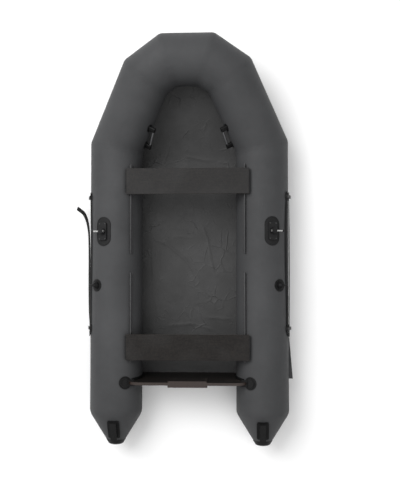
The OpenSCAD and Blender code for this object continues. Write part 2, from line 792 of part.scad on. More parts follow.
on_side(-1) side_tube();  // port_side_tube
side_tube();  // starboard_side_tube
on_side(-1) bow_tube();  // port_bow_tube
bow_tube();  // starboard_bow_tube
on_side(-1) bow_corner_tube();  // port_bow_corner_tube
bow_corner_tube();  // starboard_bow_corner_tube
bow_front_tube();
bow_bulkhead();
on_side(-1) stern_cone();  // port_stern_cone
stern_cone();  // starboard_stern_cone
on_side(-1) cone_tip();  // port_cone_tip
cone_tip();  // starboard_cone_tip
floor_panel();
bow_floor_panel();
seat_rails(-1);  // port_seat_rails
seat_rails(1);  // starboard_seat_rails
transom_board();
motor_pad_outer();
motor_pad_inner();
motor_pad_bolts();
on_side(-1) transom_holder();  // port_transom_holder
transom_holder();  // starboard_transom_holder
on_side(-1) rowlock_base();  // port_rowlock_base
rowlock_base();  // starboard_rowlock_base
on_side(-1) rowlock_swivel();  // port_rowlock_swivel
rowlock_swivel();  // starboard_rowlock_swivel
on_side(-1) rowlock_pin();  // port_rowlock_pin
rowlock_pin();  // starboard_rowlock_pin
on_side(-1) rowlock_knob();  // port_rowlock_knob
rowlock_knob();  // starboard_rowlock_knob
on_side(-1) oar_holder();  // port_oar_holder
oar_holder();  // starboard_oar_holder
on_side(-1) bow_handle_feet();  // port_bow_handle_feet
bow_handle_feet();  // starboard_bow_handle_feet
on_side(-1) bow_handle_grip();  // port_bow_handle_grip
bow_handle_grip();  // starboard_bow_handle_grip
on_side(-1) stern_handle();  // port_stern_handle
stern_handle();  // starboard_stern_handle
on_side(-1) valve_body();  // port_valve_body
valve_body();  // starboard_valve_body
on_side(-1) valve_stem();  // port_valve_stem
valve_stem();  // starboard_valve_stem
on_side(-1) valve_cap();  // port_valve_cap
valve_cap();  // starboard_valve_cap
on_side(-1) strap_anchor(1);  // port_fore_strap_anchor
on_side(-1) strap_anchor(0);  // port_aft_strap_anchor
strap_anchor(1);  // starboard_fore_strap_anchor
strap_anchor(0);  // starboard_aft_strap_anchor
grab_strap(-1);  // port_grab_strap
grab_strap(1);  // starboard_grab_strap
side_flap();  // starboard_side_flap
tow_ring_patch();
tow_ring();
bench_board(1);  // front_bench_board
bench_sliders(1);  // front_bench_sliders
bench_screws(1);  // front_bench_screws
bench_board(0);  // rear_bench_board
bench_sliders(0);  // rear_bench_sliders
bench_screws(0);  // rear_bench_screws
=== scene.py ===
"""Looks of an inflatable motor dinghy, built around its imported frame.

The hull skin, floor sheet, benches, straps and fittings are modelled here and
stand for the frame's plain solids. Sizes are in metres: +X is starboard, +Y is
the bow and +Z is up. Fittings are made once for the starboard side, in the
frame of the tube's surface, and copied to port.
"""

import json
import logging
import math
from collections.abc import Callable, Iterator, Sequence
from contextlib import contextmanager
from dataclasses import dataclass
from enum import Enum
from functools import cached_property

import bmesh
import bpy
from mathutils import Matrix, Vector, noise

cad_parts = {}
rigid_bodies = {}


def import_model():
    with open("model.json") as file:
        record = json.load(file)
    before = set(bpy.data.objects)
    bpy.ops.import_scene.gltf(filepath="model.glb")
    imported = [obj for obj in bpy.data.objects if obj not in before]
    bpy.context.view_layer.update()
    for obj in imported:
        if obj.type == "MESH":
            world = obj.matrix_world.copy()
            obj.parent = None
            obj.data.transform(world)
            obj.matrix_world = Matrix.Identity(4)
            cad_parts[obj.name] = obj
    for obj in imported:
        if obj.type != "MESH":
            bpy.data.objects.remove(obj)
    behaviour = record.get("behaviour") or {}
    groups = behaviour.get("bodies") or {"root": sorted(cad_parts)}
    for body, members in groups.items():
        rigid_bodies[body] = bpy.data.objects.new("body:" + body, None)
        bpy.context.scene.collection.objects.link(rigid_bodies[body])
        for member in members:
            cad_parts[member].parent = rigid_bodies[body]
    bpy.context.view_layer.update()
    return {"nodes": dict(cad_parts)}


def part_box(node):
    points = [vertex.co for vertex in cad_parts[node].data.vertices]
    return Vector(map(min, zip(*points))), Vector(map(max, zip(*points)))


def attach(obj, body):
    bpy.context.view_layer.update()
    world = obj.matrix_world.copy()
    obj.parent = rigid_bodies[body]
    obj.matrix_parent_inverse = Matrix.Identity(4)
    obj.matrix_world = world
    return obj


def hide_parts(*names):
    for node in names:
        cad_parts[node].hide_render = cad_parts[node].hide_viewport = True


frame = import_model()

LOG = logging.getLogger("dinghy")
Object = bpy.types.Object
Socket = bpy.types.NodeSocket
Colour = tuple[float, float, float]
MM = 0.001
SNAP = 0.05 * MM  # how near to a plane or to each other points count as together
UP = Vector((0, 0, 1))
EDGE_TILT = 0.35  # a board's polygon is part of its edge below this share of its normal


class Side(Enum):
    """A side of the boat, with the sign of its x."""

    PORT = -1
    STARBOARD = 1

    @property
    def word(self) -> str:
        """The side's name, as it starts the names of its pieces."""
        return self.name.lower()

    def fill(self, text: str) -> str:
        """A name with the side's word in place of its asterisk."""
        return text.replace("*", self.word)


# ---------------------------------------------------------------- modelling


def to_starboard(point: Vector) -> Vector:
    """A point, or its mirror image if it lies to port."""
    return Vector((abs(point.x), point.y, point.z))


def deselect_all() -> None:
    """Deselects every object."""
    for obj in bpy.context.view_layer.objects:
        obj.select_set(False)


def activate(obj: Object) -> None:
    """Makes obj the only selected object and the active one."""
    deselect_all()
    obj.select_set(True)
    bpy.context.view_layer.objects.active = obj


@contextmanager
def editing(obj: Object) -> Iterator[None]:
    """Opens obj in edit mode with nothing selected, and closes it after.

    Args:
        obj: The mesh object to shape.
    """
    activate(obj)
    bpy.ops.object.mode_set(mode="EDIT")
    bpy.ops.mesh.select_mode(type="FACE")
    bpy.ops.mesh.select_all(action="DESELECT")
    yield
    bpy.ops.object.mode_set(mode="OBJECT")


def pick_faces(obj: Object, test: Callable[[Vector, Vector], bool]) -> None:
    """Selects the faces of the mesh in edit mode whose centre and normal pass a test."""
    bpy.ops.mesh.select_mode(type="FACE")
    bpy.ops.mesh.select_all(action="DESELECT")
    for face in bmesh.from_edit_mesh(obj.data).faces:
        if test(face.calc_center_median(), face.normal):
            face.select_set(True)
    bmesh.update_edit_mesh(obj.data)


def pick_edges(obj: Object, test: Callable[[Vector, Vector], bool]) -> None:
    """Selects the edges of the mesh in edit mode whose two ends pass a test."""
    bpy.ops.mesh.select_mode(type="EDGE")
    bpy.ops.mesh.select_all(action="DESELECT")
    for edge in bmesh.from_edit_mesh(obj.data).edges:
        if test(edge.verts[0].co, edge.verts[1].co):
            edge.select_set(True)
    bmesh.update_edit_mesh(obj.data)


def extrude(by: Sequence[float]) -> None:
    """Extrudes the selected faces by a vector."""
    bpy.ops.mesh.extrude_region_move(TRANSFORM_OT_translate={"value": tuple(by)})


def score(point: Vector, normal: Vector, clear: bool = False) -> None:
    """Cuts the whole mesh in edit mode with a plane.

    Args:
        point: A point on the plane.
        normal: The plane's normal.
        clear: Whether what the normal points to is removed.
    """
    bpy.ops.mesh.select_all(action="SELECT")
    bpy.ops.mesh.bisect(
        plane_co=tuple(point), plane_no=tuple(normal), clear_outer=clear, threshold=1e-6
    )
    bpy.ops.mesh.select_all(action="DESELECT")


def apply_modifier(obj: Object, kind: str, **settings: object) -> None:
    """Adds a modifier to obj and applies it.

    Args:
        obj: The mesh object.
        kind: The modifier's type.
        **settings: The modifier's own settings.
    """
    modifier = obj.modifiers.new(kind.title(), kind)
    for name, value in settings.items():
        setattr(modifier, name, value)
    activate(obj)
    bpy.ops.object.modifier_apply(modifier=modifier.name)


def merge(obj: Object, distance: float) -> None:
    """Merges the vertices of obj that lie together."""
    with editing(obj):
        bpy.ops.mesh.select_all(action="SELECT")
        bpy.ops.mesh.remove_doubles(threshold=distance)


def face_outwards(obj: Object) -> None:
    """Turns the faces of a closed mesh outwards, solid by solid."""
    with editing(obj):
        bpy.ops.mesh.select_all(action="SELECT")
        bpy.ops.mesh.normals_make_consistent(inside=False)


def settle(obj: Object, place: Matrix | None = None) -> Object:
    """Moves obj by a matrix, and puts its place into its mesh.

    Args:
        obj: The mesh object.
        place: Where it goes, in the boat's frame.

    Returns:
        The same object, at the origin, unturned and unscaled.
    """
    bpy.context.view_layer.update()
    if place is not None:
        obj.matrix_world = place @ obj.matrix_world
    activate(obj)
    bpy.ops.object.transform_apply(location=True, rotation=True, scale=True)
    return obj


def mirrored(obj: Object) -> Object:
    """Copies a starboard piece to port, with its own mesh and its faces outwards."""
    activate(obj)
    bpy.ops.object.duplicate(linked=False)
    twin = bpy.context.object
    twin.scale.x = -1
    settle(twin)
    face_outwards(twin)
    return twin


def join(pieces: Sequence[Object]) -> Object:
    """Joins several objects into the first."""
    deselect_all()
    for piece in pieces:
        piece.select_set(True)
    bpy.context.view_layer.objects.active = pieces[0]
    bpy.ops.object.join()
    return pieces[0]


def rounded_edges(obj: Object, width: float, segments: int = 3, limit: float = 30.0) -> Object:
    """Rounds the sharp edges of obj.

    Args:
        obj: The mesh object.
        width: The rounding's width, in metres.
        segments: Faces across the rounding.
        limit: The least angle of an edge that is rounded, in degrees.

    Returns:
        The same object.
    """
    apply_modifier(
        obj,
        "BEVEL",
        width=width,
        segments=segments,
        limit_method="ANGLE",
        angle_limit=math.radians(limit),
        use_clamp_overlap=True,
    )
    return obj


def slab(size: Sequence[float], corner: float = 0.0, steps: int = 8) -> Object:
    """A board on the local XY plane with round corners, its underside at z = 0.

    Args:
        size: Width, length and thickness.
        corner: The radius of its upright corners.
        steps: Faces round each corner.

    Returns:
        The new object.
    """
    deselect_all()
    bpy.ops.mesh.primitive_cube_add(size=1, location=(0, 0, size[2] / 2))
    obj = bpy.context.object
    obj.scale = size
    settle(obj)
    if corner:
        with editing(obj):
            pick_edges(obj, lambda a, b: abs(a.z - b.z) > size[2] / 2)
            bpy.ops.mesh.bevel(offset=corner, segments=steps, affect="EDGES")
    return obj


def turned(profile: Sequence[tuple[float, float]], steps: int = 48) -> Object:
    """A shape turned on a lathe about local Z, spun from half its outline.

    Args:
        profile: Radius and height of each point, from the axis to the axis.
        steps: Faces round the axis.

    Returns:
        The new closed object.
    """
    deselect_all()
    bpy.ops.mesh.primitive_circle_add(vertices=len(profile), radius=0.01)
    obj = bpy.context.object
    for vertex, (radius, height) in zip(obj.data.vertices, profile):
        vertex.co = (radius, 0, height)
    with editing(obj):
        last = len(profile) - 1
        ends = {obj.data.vertices[0].co.to_tuple(6), obj.data.vertices[last].co.to_tuple(6)}
        pick_edges(obj, lambda a, b: {a.to_tuple(6), b.to_tuple(6)} == ends)
        bpy.ops.mesh.delete(type="EDGE_FACE")
        bpy.ops.mesh.select_all(action="SELECT")
        bpy.ops.mesh.spin(steps=steps, angle=math.tau, center=(0, 0, 0), axis=(0, 0, 1))
        bpy.ops.mesh.select_all(action="SELECT")
        bpy.ops.mesh.remove_doubles(threshold=0.01 * MM)
        bpy.ops.mesh.normals_make_consistent(inside=False)
    return obj


def wrapped(obj: Object, radius: float, step: float = 5 * MM) -> Object:
    """Bends a piece modelled flat round a tube whose axis is along local Y.

    Args:
        obj: The piece, lying on local z = 0, where the tube's surface is.
        radius: The tube's radius.
        step: Distance between the cuts across it that let it bend.

    Returns:
        The same object.
    """
    xs = [v.co.x for v in obj.data.vertices]
    low, high = min(xs), max(xs)
    count = max(2, math.ceil((high - low) / step))
    with editing(obj):
        for k in range(1, count):
            score(Vector((low + (high - low) * k / count, 0, 0)), Vector((1, 0, 0)))
    for vertex in obj.data.vertices:
        x, y, z = vertex.co
        vertex.co = (
            (radius + z) * math.sin(x / radius),
            y,
            (radius + z) * math.cos(x / radius) - radius,
        )
    return obj


def dressed_copy(node: str, width: float, segments: int) -> Object:
    """A bare copy of a frame node with merged faces and softened edges.

    Args:
        node: The frame node's name.
        width: The width of the rounding along its sharp edges.
        segments: Faces across the rounding.

    Returns:
        The new object.
    """
    copy = bpy.data.objects.new(node, frame["nodes"][node].data.copy())
    copy.data.materials.clear()
    bpy.context.scene.collection.objects.link(copy)
    with editing(copy):
        bpy.ops.mesh.select_all(action="SELECT")
        bpy.ops.mesh.remove_doubles(threshold=0.02 * MM)
        bpy.ops.mesh.dissolve_limited(angle_limit=math.radians(0.6))
    return rounded_edges(copy, width, segments)


def finish_piece(
    obj: Object,
    name: str,
    finish: "Finish",
    body: str = "hull",
    stands_for: Sequence[str] = (),
    smooth: float = 35.0,
    even: bool = True,
) -> Object:
    """Names, shades and dresses a piece, and puts it on its body.

    Args:
        obj: The piece, in place.
        name: Its name.
        finish: Its finish.
        body: The body that it moves with.
        stands_for: The frame nodes that it is shown in place of.
        smooth: The edge angle under which shading is smooth, in degrees.
        even: Whether its normals are weighted by the size of its faces.

    Returns:
        The same object.
    """
    obj.name = name
    obj.data.name = name
    activate(obj)
    bpy.ops.object.shade_smooth_by_angle(angle=math.radians(smooth))
    if even:
        apply_modifier(obj, "WEIGHTED_NORMAL", keep_sharp=True)
    if not obj.data.materials:
        obj.data.materials.append(finish.material())
    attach(obj, body)
    if stands_for:
        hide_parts(*stands_for)
    LOG.info("%s: %d faces, on %s", name, len(obj.data.polygons), body)
    return obj


def finish_pair(
    starboard: Object,
    name: str,
    finish: "Finish",
    body: str = "hull",
    stands_for: Sequence[str] = (),
    smooth: float = 35.0,
) -> None:
    """Copies a starboard piece to port and finishes both.

    Args:
        starboard: The starboard piece, in place.
        name: Their name, with an asterisk for the side. So are body and stands_for.
        finish: Their finish.
        body: The body that each moves with.
        stands_for: The frame nodes that each is shown in place of.
        smooth: The edge angle under which shading is smooth, in degrees.
    """
    for side, piece in ((Side.PORT, mirrored(starboard)), (Side.STARBOARD, starboard)):
        nodes = [side.fill(node) for node in stands_for]
        finish_piece(piece, side.fill(name), finish, side.fill(body), nodes, smooth)


def carry_over(node: str, finish: "Finish") -> None:
    """Gives a frame node that stays shown its finish.

    Args:
        node: The frame node's name.
        finish: Its finish.
    """
    mesh = frame["nodes"][node].data
    mesh.materials.clear()
    mesh.materials.append(finish.material())
    LOG.info("%s: carried over", node)


# ---------------------------------------------------------------- finishes


@dataclass
class Wiring:
    """Adds the nodes of one material or node group, and links them."""

    tree: bpy.types.NodeTree

    def node(self, kind: str, inputs: dict | None = None, **settings: object) -> bpy.types.Node:
        """Adds a node.

        Args:
            kind: The node's type.
            inputs: Sockets to link, or values to set, by input name or index.
            **settings: The node's own settings.

        Returns:
            The new node.
        """
        made = self.tree.nodes.new(kind)
        for name, value in settings.items():
            setattr(made, name, value)
        self.feed(made, inputs or {})
        return made

    def feed(self, node: bpy.types.Node, inputs: dict) -> None:
        """Links or sets a node's inputs, by name or index."""
        for name, value in inputs.items():
            if isinstance(value, bpy.types.NodeSocket):
                self.tree.links.new(value, node.inputs[name])
            else:
                node.inputs[name].default_value = value

    def math(self, operation: str, *values: object, clamp: bool = False) -> Socket:
        """The result of a Math node on up to three values."""
        node = self.node("ShaderNodeMath", dict(enumerate(values)), operation=operation)
        node.use_clamp = clamp
        return node.outputs[0]

    def times(self, a: object, b: object, clamp: bool = False) -> Socket:
        """The product of two values."""
        return self.math("MULTIPLY", a, b, clamp=clamp)

    def plus(self, a: object, b: object) -> Socket:
        """The sum of two values."""
        return self.math("ADD", a, b)

    def vector(self, operation: str, a: object, b: object) -> Socket:
        """The vector result of a Vector Math node."""
        return self.node("ShaderNodeVectorMath", {0: a, 1: b}, operation=operation).outputs[0]

    def parts(self, vector: Socket) -> tuple[Socket, Socket, Socket]:
        """The x, y and z of a vector."""
        outputs = self.node("ShaderNodeSeparateXYZ", {0: vector}).outputs
        return outputs[0], outputs[1], outputs[2]

    def noise(self, vector: Socket, scale: object, detail: float = 3.0) -> Socket:
        """The value of a Noise texture."""
        inputs = {"Vector": vector, "Scale": scale, "Detail": detail}
        return self.node("ShaderNodeTexNoise", inputs).outputs[0]

    def remap(self, value: Socket, low: float, high: float, start: float = 0.0, end: float = 1.0) -> Socket:
        """Spreads a value from low..high over start..end, without going past them."""
        inputs = {0: value, 1: low, 2: high, 3: start, 4: end}
        return self.node("ShaderNodeMapRange", inputs, clamp=True).outputs[0]

    def blend(self, factor: object, a: object, b: object) -> Socket:
        """The mix of two colours."""
        node = self.node("ShaderNodeMix", {0: factor, 6: opaque(a), 7: opaque(b)}, data_type="RGBA")
        return node.outputs[2]

    def place(self, uv: bool = False) -> Socket:
        """The object's own coordinates, or its UV map."""
        return self.node("ShaderNodeTexCoord").outputs["UV" if uv else "Object"]

    def use(self, effect: "Effect", vector: Socket, **inputs: object) -> bpy.types.NodeOutputs:
        """Places an effect's node group and returns its outputs."""
        return self.node("ShaderNodeGroup", {"Vector": vector, **inputs}, node_tree=effect.tree).outputs


def opaque(value: object) -> object:
    """A colour with its alpha, or the socket as it is."""
    return (*value, 1.0) if isinstance(value, tuple) and len(value) == 3 else value


class Effect(Enum):
    """A node group that several finishes share."""

    WEAVE = "plain_weave"
    GRAIN = "pebble_grain"
    WEAR = "edge_wear"
    DUST = "settled_dust"
    MOTTLE = "mottling"
    SCUFFS = "fine_scuffs"
    FIBRES = "wood_fibres"
    CREASES = "packing_creases"

    @property
    def tree(self) -> bpy.types.NodeTree:
        """The group, made at its first use."""
        return bpy.data.node_groups.get(self.value) or self._make()

    def _make(self) -> bpy.types.NodeTree:
        """Makes the group's sockets and nodes."""
        tree = bpy.data.node_groups.new(self.value, "ShaderNodeTree")
        inputs, outputs, build = {
            Effect.WEAVE: (("Vector", "Thread"), ("Height", "Gaps"), _weave),
            Effect.GRAIN: (("Vector", "Size"), ("Height",), _grain),
            Effect.WEAR: (("Vector", "Amount"), ("Mask",), _wear),
            Effect.DUST: (("Vector", "Amount"), ("Mask",), _dust),
            Effect.MOTTLE: (("Vector", "Size"), ("Value",), _mottle),
            Effect.SCUFFS: (("Vector", "Amount"), ("Mask",), _scuffs),
            Effect.FIBRES: (("Vector", "Size"), ("Value", "Pores"), _fibres),
            Effect.CREASES: (("Vector", "Size"), ("Height",), _creases),
        }[self]
        for name in inputs:
            kind = "NodeSocketVector" if name == "Vector" else "NodeSocketFloat"
            tree.interface.new_socket(name, in_out="INPUT", socket_type=kind)
        for name in outputs:
            tree.interface.new_socket(name, in_out="OUTPUT", socket_type="NodeSocketFloat")
        wiring = Wiring(tree)
        given = tree.nodes.new("NodeGroupInput").outputs
        results = build(wiring, given[0], given[1])
        end = tree.nodes.new("NodeGroupOutput")
        for socket, result in zip(end.inputs, results):
            tree.links.new(result, socket)
        return tree


def _weave(w: Wiring, vector: Socket, thread: Socket) -> list[Socket]:
    """Threads that pass over and under each other: their height, and the gaps."""
    x, y, _ = w.parts(vector)
    u, v = w.math("DIVIDE", x, thread), w.math("DIVIDE", y, thread)
    across = w.math("ABSOLUTE", w.math("SINE", w.times(u, math.pi)))
    along = w.math("ABSOLUTE", w.math("SINE", w.times(v, math.pi)))
    cell = w.plus(w.math("FLOOR", u), w.math("FLOOR", v))
    over = w.math("FLOORED_MODULO", cell, 2.0)
    under = w.math("SUBTRACT", 1.0, over)
    height = w.plus(w.times(across, over), w.times(along, under))
    gaps = w.math("SUBTRACT", 1.0, w.times(across, along))
    return [height, w.math("POWER", gaps, 3.0)]


def _grain(w: Wiring, vector: Socket, size: Socket) -> list[Socket]:
    """A moulded pebble grain."""
    scale = w.math("DIVIDE", 1.0, size)
    inputs = {"Vector": vector, "Scale": scale, "Smoothness": 0.6}
    cells = w.node("ShaderNodeTexVoronoi", inputs, feature="SMOOTH_F1").outputs["Distance"]
    fine = w.noise(vector, w.times(scale, 2.7), 2.0)
    return [w.plus(w.times(cells, 0.7), w.times(fine, 0.3))]


def _wear(w: Wiring, vector: Socket, amount: Socket) -> list[Socket]:
    """Rubbed edges, broken up by noise."""
    edge = w.remap(w.node("ShaderNodeNewGeometry").outputs["Pointiness"], 0.52, 0.6)
    broken = w.remap(w.noise(vector, 90.0, 4.0), 0.38, 0.68)
    return [w.times(w.times(edge, broken), amount, clamp=True)]


def _dust(w: Wiring, vector: Socket, amount: Socket) -> list[Socket]:
    """Dust on what faces up, thicker in patches, with single specks."""
    _, _, up = w.parts(w.node("ShaderNodeNewGeometry").outputs["Normal"])
    level = w.remap(up, 0.2, 1.0)
    patches = w.remap(w.noise(vector, 7.0, 5.0), 0.42, 0.72)
    specks = w.remap(w.noise(vector, 420.0, 1.0), 0.66, 0.74)
    both = w.plus(w.times(patches, 0.6), w.times(specks, 0.5))
    return [w.times(w.times(both, level), amount, clamp=True)]


def _mottle(w: Wiring, vector: Socket, size: Socket) -> list[Socket]:
    """Slow unevenness of a colour, around a half."""
    return [w.remap(w.noise(vector, w.math("DIVIDE", 1.0, size), 4.0), 0.3, 0.7)]


def _scuffs(w: Wiring, vector: Socket, amount: Socket) -> list[Socket]:
    """Short fine scratches that lie several ways."""
    total = None
    for turn, scale in ((0.35, (260.0, 9.0, 60.0)), (-0.7, (9.0, 240.0, 60.0)), (1.2, (190.0, 12.0, 50.0))):
        inputs = {"Vector": vector, "Rotation": (0.0, 0.0, turn), "Scale": scale}
        turned_vector = w.node("ShaderNodeMapping", inputs).outputs[0]
        line = w.remap(w.noise(turned_vector, 1.0, 2.0), 0.69, 0.76)
        total = line if total is None else w.math("MAXIMUM", total, line)
    patches = w.remap(w.noise(vector, 11.0, 2.0), 0.48, 0.66)
    return [w.times(w.times(total, patches), amount, clamp=True)]


def _fibres(w: Wiring, vector: Socket, size: Socket) -> list[Socket]:
    """Wood grain along local X, with its pores."""
    scale = w.math("DIVIDE", 1.0, size)
    long = w.node("ShaderNodeMapping", {"Vector": vector, "Scale": (0.05, 1.0, 1.0)}).outputs[0]
    bend = w.times(w.noise(vector, 5.0, 2.0), 0.02)
    shifted = w.vector("ADD", long, w.node("ShaderNodeCombineXYZ", {1: bend}).outputs[0])
    value = w.noise(shifted, scale, 5.0)
    pores = w.remap(w.noise(shifted, w.times(scale, 3.1), 2.0), 0.6, 0.72)
    return [value, pores]


def _creases(w: Wiring, vector: Socket, size: Socket) -> list[Socket]:
    """Narrow raised folds that meet in a loose network and fade in places."""
    bend = w.node("ShaderNodeTexNoise", {"Vector": vector, "Scale": 5.0, "Detail": 3.0}).outputs[1]
    pulled = w.vector("ADD", vector, w.vector("MULTIPLY", bend, (0.12, 0.12, 0.0)))
    total = None
    for share, scale in ((1.0, 1.0), (0.45, 2.3)):
        fold_scale = w.math("DIVIDE", scale, size)
        cells = w.node("ShaderNodeTexVoronoi", {"Vector": pulled, "Scale": fold_scale}, feature="DISTANCE_TO_EDGE")
        ridge = w.remap(cells.outputs["Distance"], 0.0, 0.07, 1.0, 0.0)
        shown = w.remap(w.noise(vector, w.times(fold_scale, 0.7), 2.0), 0.5, 0.66)
        part = w.times(w.times(w.math("POWER", ridge, 1.6), shown), share)
        total = part if total is None else w.plus(total, part)
    return [total]


@dataclass(frozen=True)
class Finish:
    """What every finish has: a name, a main colour and a roughness."""

    name: str
    colour: Colour
    roughness: float

    def material(self) -> bpy.types.Material:
        """The finish's material, made at its first use."""
        title = f"{self.name}_finish"
        made = bpy.data.materials.get(title)
        if made:
            return made
        made = bpy.data.materials.new(title)
        made.use_nodes = True
        made.node_tree.nodes.clear()
        wiring = Wiring(made.node_tree)
        shader = wiring.node("ShaderNodeBsdfPrincipled")
        wiring.node("ShaderNodeOutputMaterial", {0: shader.outputs[0]})
        self.wire(wiring, shader)
        return made

    def wire(self, w: Wiring, shader: bpy.types.Node) -> None:
        """Links the finish's nodes to its shader."""
        raise NotImplementedError

    def connect(
        self, w: Wiring, shader: bpy.types.Node, colour: Socket, roughness: object, height: Socket, depth: float
    ) -> None:
        """Links what every finish ends with.

        Args:
            w: The material's wiring.
            shader: Its Principled shader.
            colour: The colour over the surface.
            roughness: The roughness, a number or a socket.
            height: The height of its fine relief.
            depth: How deep the relief is, in metres.
        """
        bump = w.node("ShaderNodeBump", {"Height": height, "Strength": 1.0, "Distance": depth})
        w.feed(shader, {"Base Color": colour, "Roughness": roughness, "Normal": bump.outputs[0]})


@dataclass(frozen=True)
class CoatedFabric(Finish):
    """Vinyl-coated cloth of the tubes and floor: the weave prints through a satin coat."""

    thread: float = 1.3 * MM
    relief: float = 0.05 * MM
    marks: Colour = (0.10, 0.10, 0.103)
    dust: float = 0.4
    specular: float = 0.2
    crease: float = 0.0

    def wire(self, w: Wiring, shader: bpy.types.Node) -> None:
        """Weave, mottling, scuffs and dust."""
        place, flat = w.place(), w.place(uv=True)
        weave = w.use(Effect.WEAVE, flat, Thread=self.thread)
        broad = w.use(Effect.MOTTLE, place, Size=0.35)["Value"]
        small = w.use(Effect.MOTTLE, place, Size=0.03)["Value"]
        dust = w.use(Effect.DUST, place, Amount=self.dust)["Mask"]
        scuffs = w.use(Effect.SCUFFS, place, Amount=0.5)["Mask"]
        deep = tuple(0.86 * c for c in self.colour)
        light = tuple(1.12 * c for c in self.colour)
        colour = w.blend(broad, deep, light)
        # The gaps between the threads are painted darker: painted shade in the weave's recesses.
        colour = w.blend(w.times(weave["Gaps"], 0.22), colour, deep)
        colour = w.blend(w.times(dust, 0.45), colour, self.marks)
        colour = w.blend(w.times(scuffs, 0.6), colour, self.marks)
        even = w.remap(small, 0.0, 1.0, self.roughness - 0.05, self.roughness + 0.05)
        rough = w.plus(even, w.times(dust, 0.2))
        shader.inputs["Specular IOR Level"].default_value = self.specular
        height = w.times(weave["Height"], self.relief)
        if self.crease:
            folds = w.use(Effect.CREASES, place, Size=0.11)["Height"]
            height = w.plus(height, w.times(folds, self.crease))
        self.connect(w, shader, colour, rough, height, 1.0)


@dataclass(frozen=True)
class MouldedRubber(Finish):
    """Moulded rubber or plastic with a pebble grain and rubbed edges."""

    pebble: float = 1.2 * MM
    relief: float = 0.08 * MM
    worn: Colour = (0.045, 0.045, 0.045)
    dust: float = 0.3
    wear: float = 0.8
    specular: float = 0.2

    def wire(self, w: Wiring, shader: bpy.types.Node) -> None:
        """Grain, edge wear, scuffs and dust."""
        place = w.place()
        grain = w.use(Effect.GRAIN, place, Size=self.pebble)["Height"]
        wear = w.use(Effect.WEAR, place, Amount=self.wear)["Mask"]
        dust = w.use(Effect.DUST, place, Amount=self.dust)["Mask"]
        mottle = w.use(Effect.MOTTLE, place, Size=0.02)["Value"]
        scuffs = w.use(Effect.SCUFFS, place, Amount=0.7)["Mask"]
        deep = tuple(0.8 * c for c in self.colour)
        colour = w.blend(mottle, deep, self.colour)
        colour = w.blend(w.math("MAXIMUM", wear, w.times(scuffs, 0.5)), colour, self.worn)
        colour = w.blend(w.times(dust, 0.3), colour, (0.07, 0.07, 0.07))
        rough = w.remap(grain, 0.2, 0.8, self.roughness + 0.06, self.roughness - 0.06)
        shader.inputs["Specular IOR Level"].default_value = self.specular
        self.connect(w, shader, colour, rough, grain, self.relief)


@dataclass(frozen=True)
class Metal(Finish):
    """Stainless steel or anodised tube with a drawn grain and small smears."""

    grain_way: tuple[float, float, float] = (900.0, 900.0, 30.0)

    def wire(self, w: Wiring, shader: bpy.types.Node) -> None:
        """Drawn grain, smears and scuffs on bare metal."""
        place = w.place()
        drawn = w.node("ShaderNodeMapping", {"Vector": place, "Scale": self.grain_way}).outputs[0]
        lines = w.noise(drawn, 1.0, 3.0)
        smears = w.use(Effect.MOTTLE, place, Size=0.012)["Value"]
        scuffs = w.use(Effect.SCUFFS, place, Amount=0.9)["Mask"]
        dull = tuple(0.72 * c for c in self.colour)
        colour = w.blend(w.times(smears, 0.5), self.colour, dull)
        colour = w.blend(scuffs, colour, dull)
        even = w.remap(lines, 0.3, 0.7, self.roughness - 0.06, self.roughness + 0.1)
        rough = w.plus(even, w.times(smears, 0.08))
        shader.inputs["Metallic"].default_value = 1.0
        self.connect(w, shader, colour, rough, lines, 0.01 * MM)


@dataclass(frozen=True)
class FilmPly(Finish):
    """Plywood faced with a dark film, through which the grain still shows."""

    grain: Colour = (0.06, 0.05, 0.045)
    size: float = 4 * MM
    specular: float = 0.18

    def wire(self, w: Wiring, shader: bpy.types.Node) -> None:
        """Grain under the film, scuffs, worn edges and dust."""
        place = w.place()
        fibres = w.use(Effect.FIBRES, place, Size=self.size)
        wear = w.use(Effect.WEAR, place, Amount=0.8)["Mask"]
        dust = w.use(Effect.DUST, place, Amount=0.55)["Mask"]
        scuffs = w.use(Effect.SCUFFS, place, Amount=0.8)["Mask"]
        colour = w.blend(w.remap(fibres["Value"], 0.35, 0.65), self.colour, self.grain)
        colour = w.blend(w.times(fibres["Pores"], 0.4), colour, tuple(0.5 * c for c in self.colour))
        colour = w.blend(w.math("MAXIMUM", wear, w.times(scuffs, 0.55)), colour, (0.06, 0.05, 0.042))
        colour = w.blend(w.times(dust, 0.3), colour, (0.07, 0.07, 0.07))
        rough = w.remap(fibres["Value"], 0.3, 0.7, self.roughness - 0.05, self.roughness + 0.07)
        shader.inputs["Specular IOR Level"].default_value = self.specular
        self.connect(w, shader, colour, rough, fibres["Value"], 0.06 * MM)


@dataclass(frozen=True)
class PlyEdge(Finish):
    """The cut edge of plywood: thin veneers, light and dark by turns, under varnish."""

    veneer: float = 1.5 * MM
    dark: Colour = (0.035, 0.02, 0.014)
    across: tuple[float, float, float] = (0.0, 0.0, 1.0)

    def wire(self, w: Wiring, shader: bpy.types.Node) -> None:
        """Veneer lines across the board's thickness."""
        place = w.place()
        depth = w.node("ShaderNodeVectorMath", {0: place, 1: self.across}, operation="DOT_PRODUCT")
        rough_line = w.times(w.noise(place, 60.0, 3.0), 0.5 * self.veneer)
        turns = w.times(w.plus(depth.outputs["Value"], rough_line), math.pi / self.veneer)
        band = w.remap(w.math("SINE", turns), -0.35, 0.35)
        drawn = w.node("ShaderNodeMapping", {"Vector": place, "Scale": (60.0, 60.0, 900.0)}).outputs[0]
        fibres = w.noise(drawn, 1.0, 3.0)
        colour = w.blend(band, self.dark, self.colour)
        colour = w.blend(w.remap(fibres, 0.45, 0.75, 0.0, 0.45), colour, self.dark)
        rough = w.remap(fibres, 0.3, 0.7, self.roughness - 0.06, self.roughness + 0.1)
        self.connect(w, shader, colour, rough, band, 0.1 * MM)


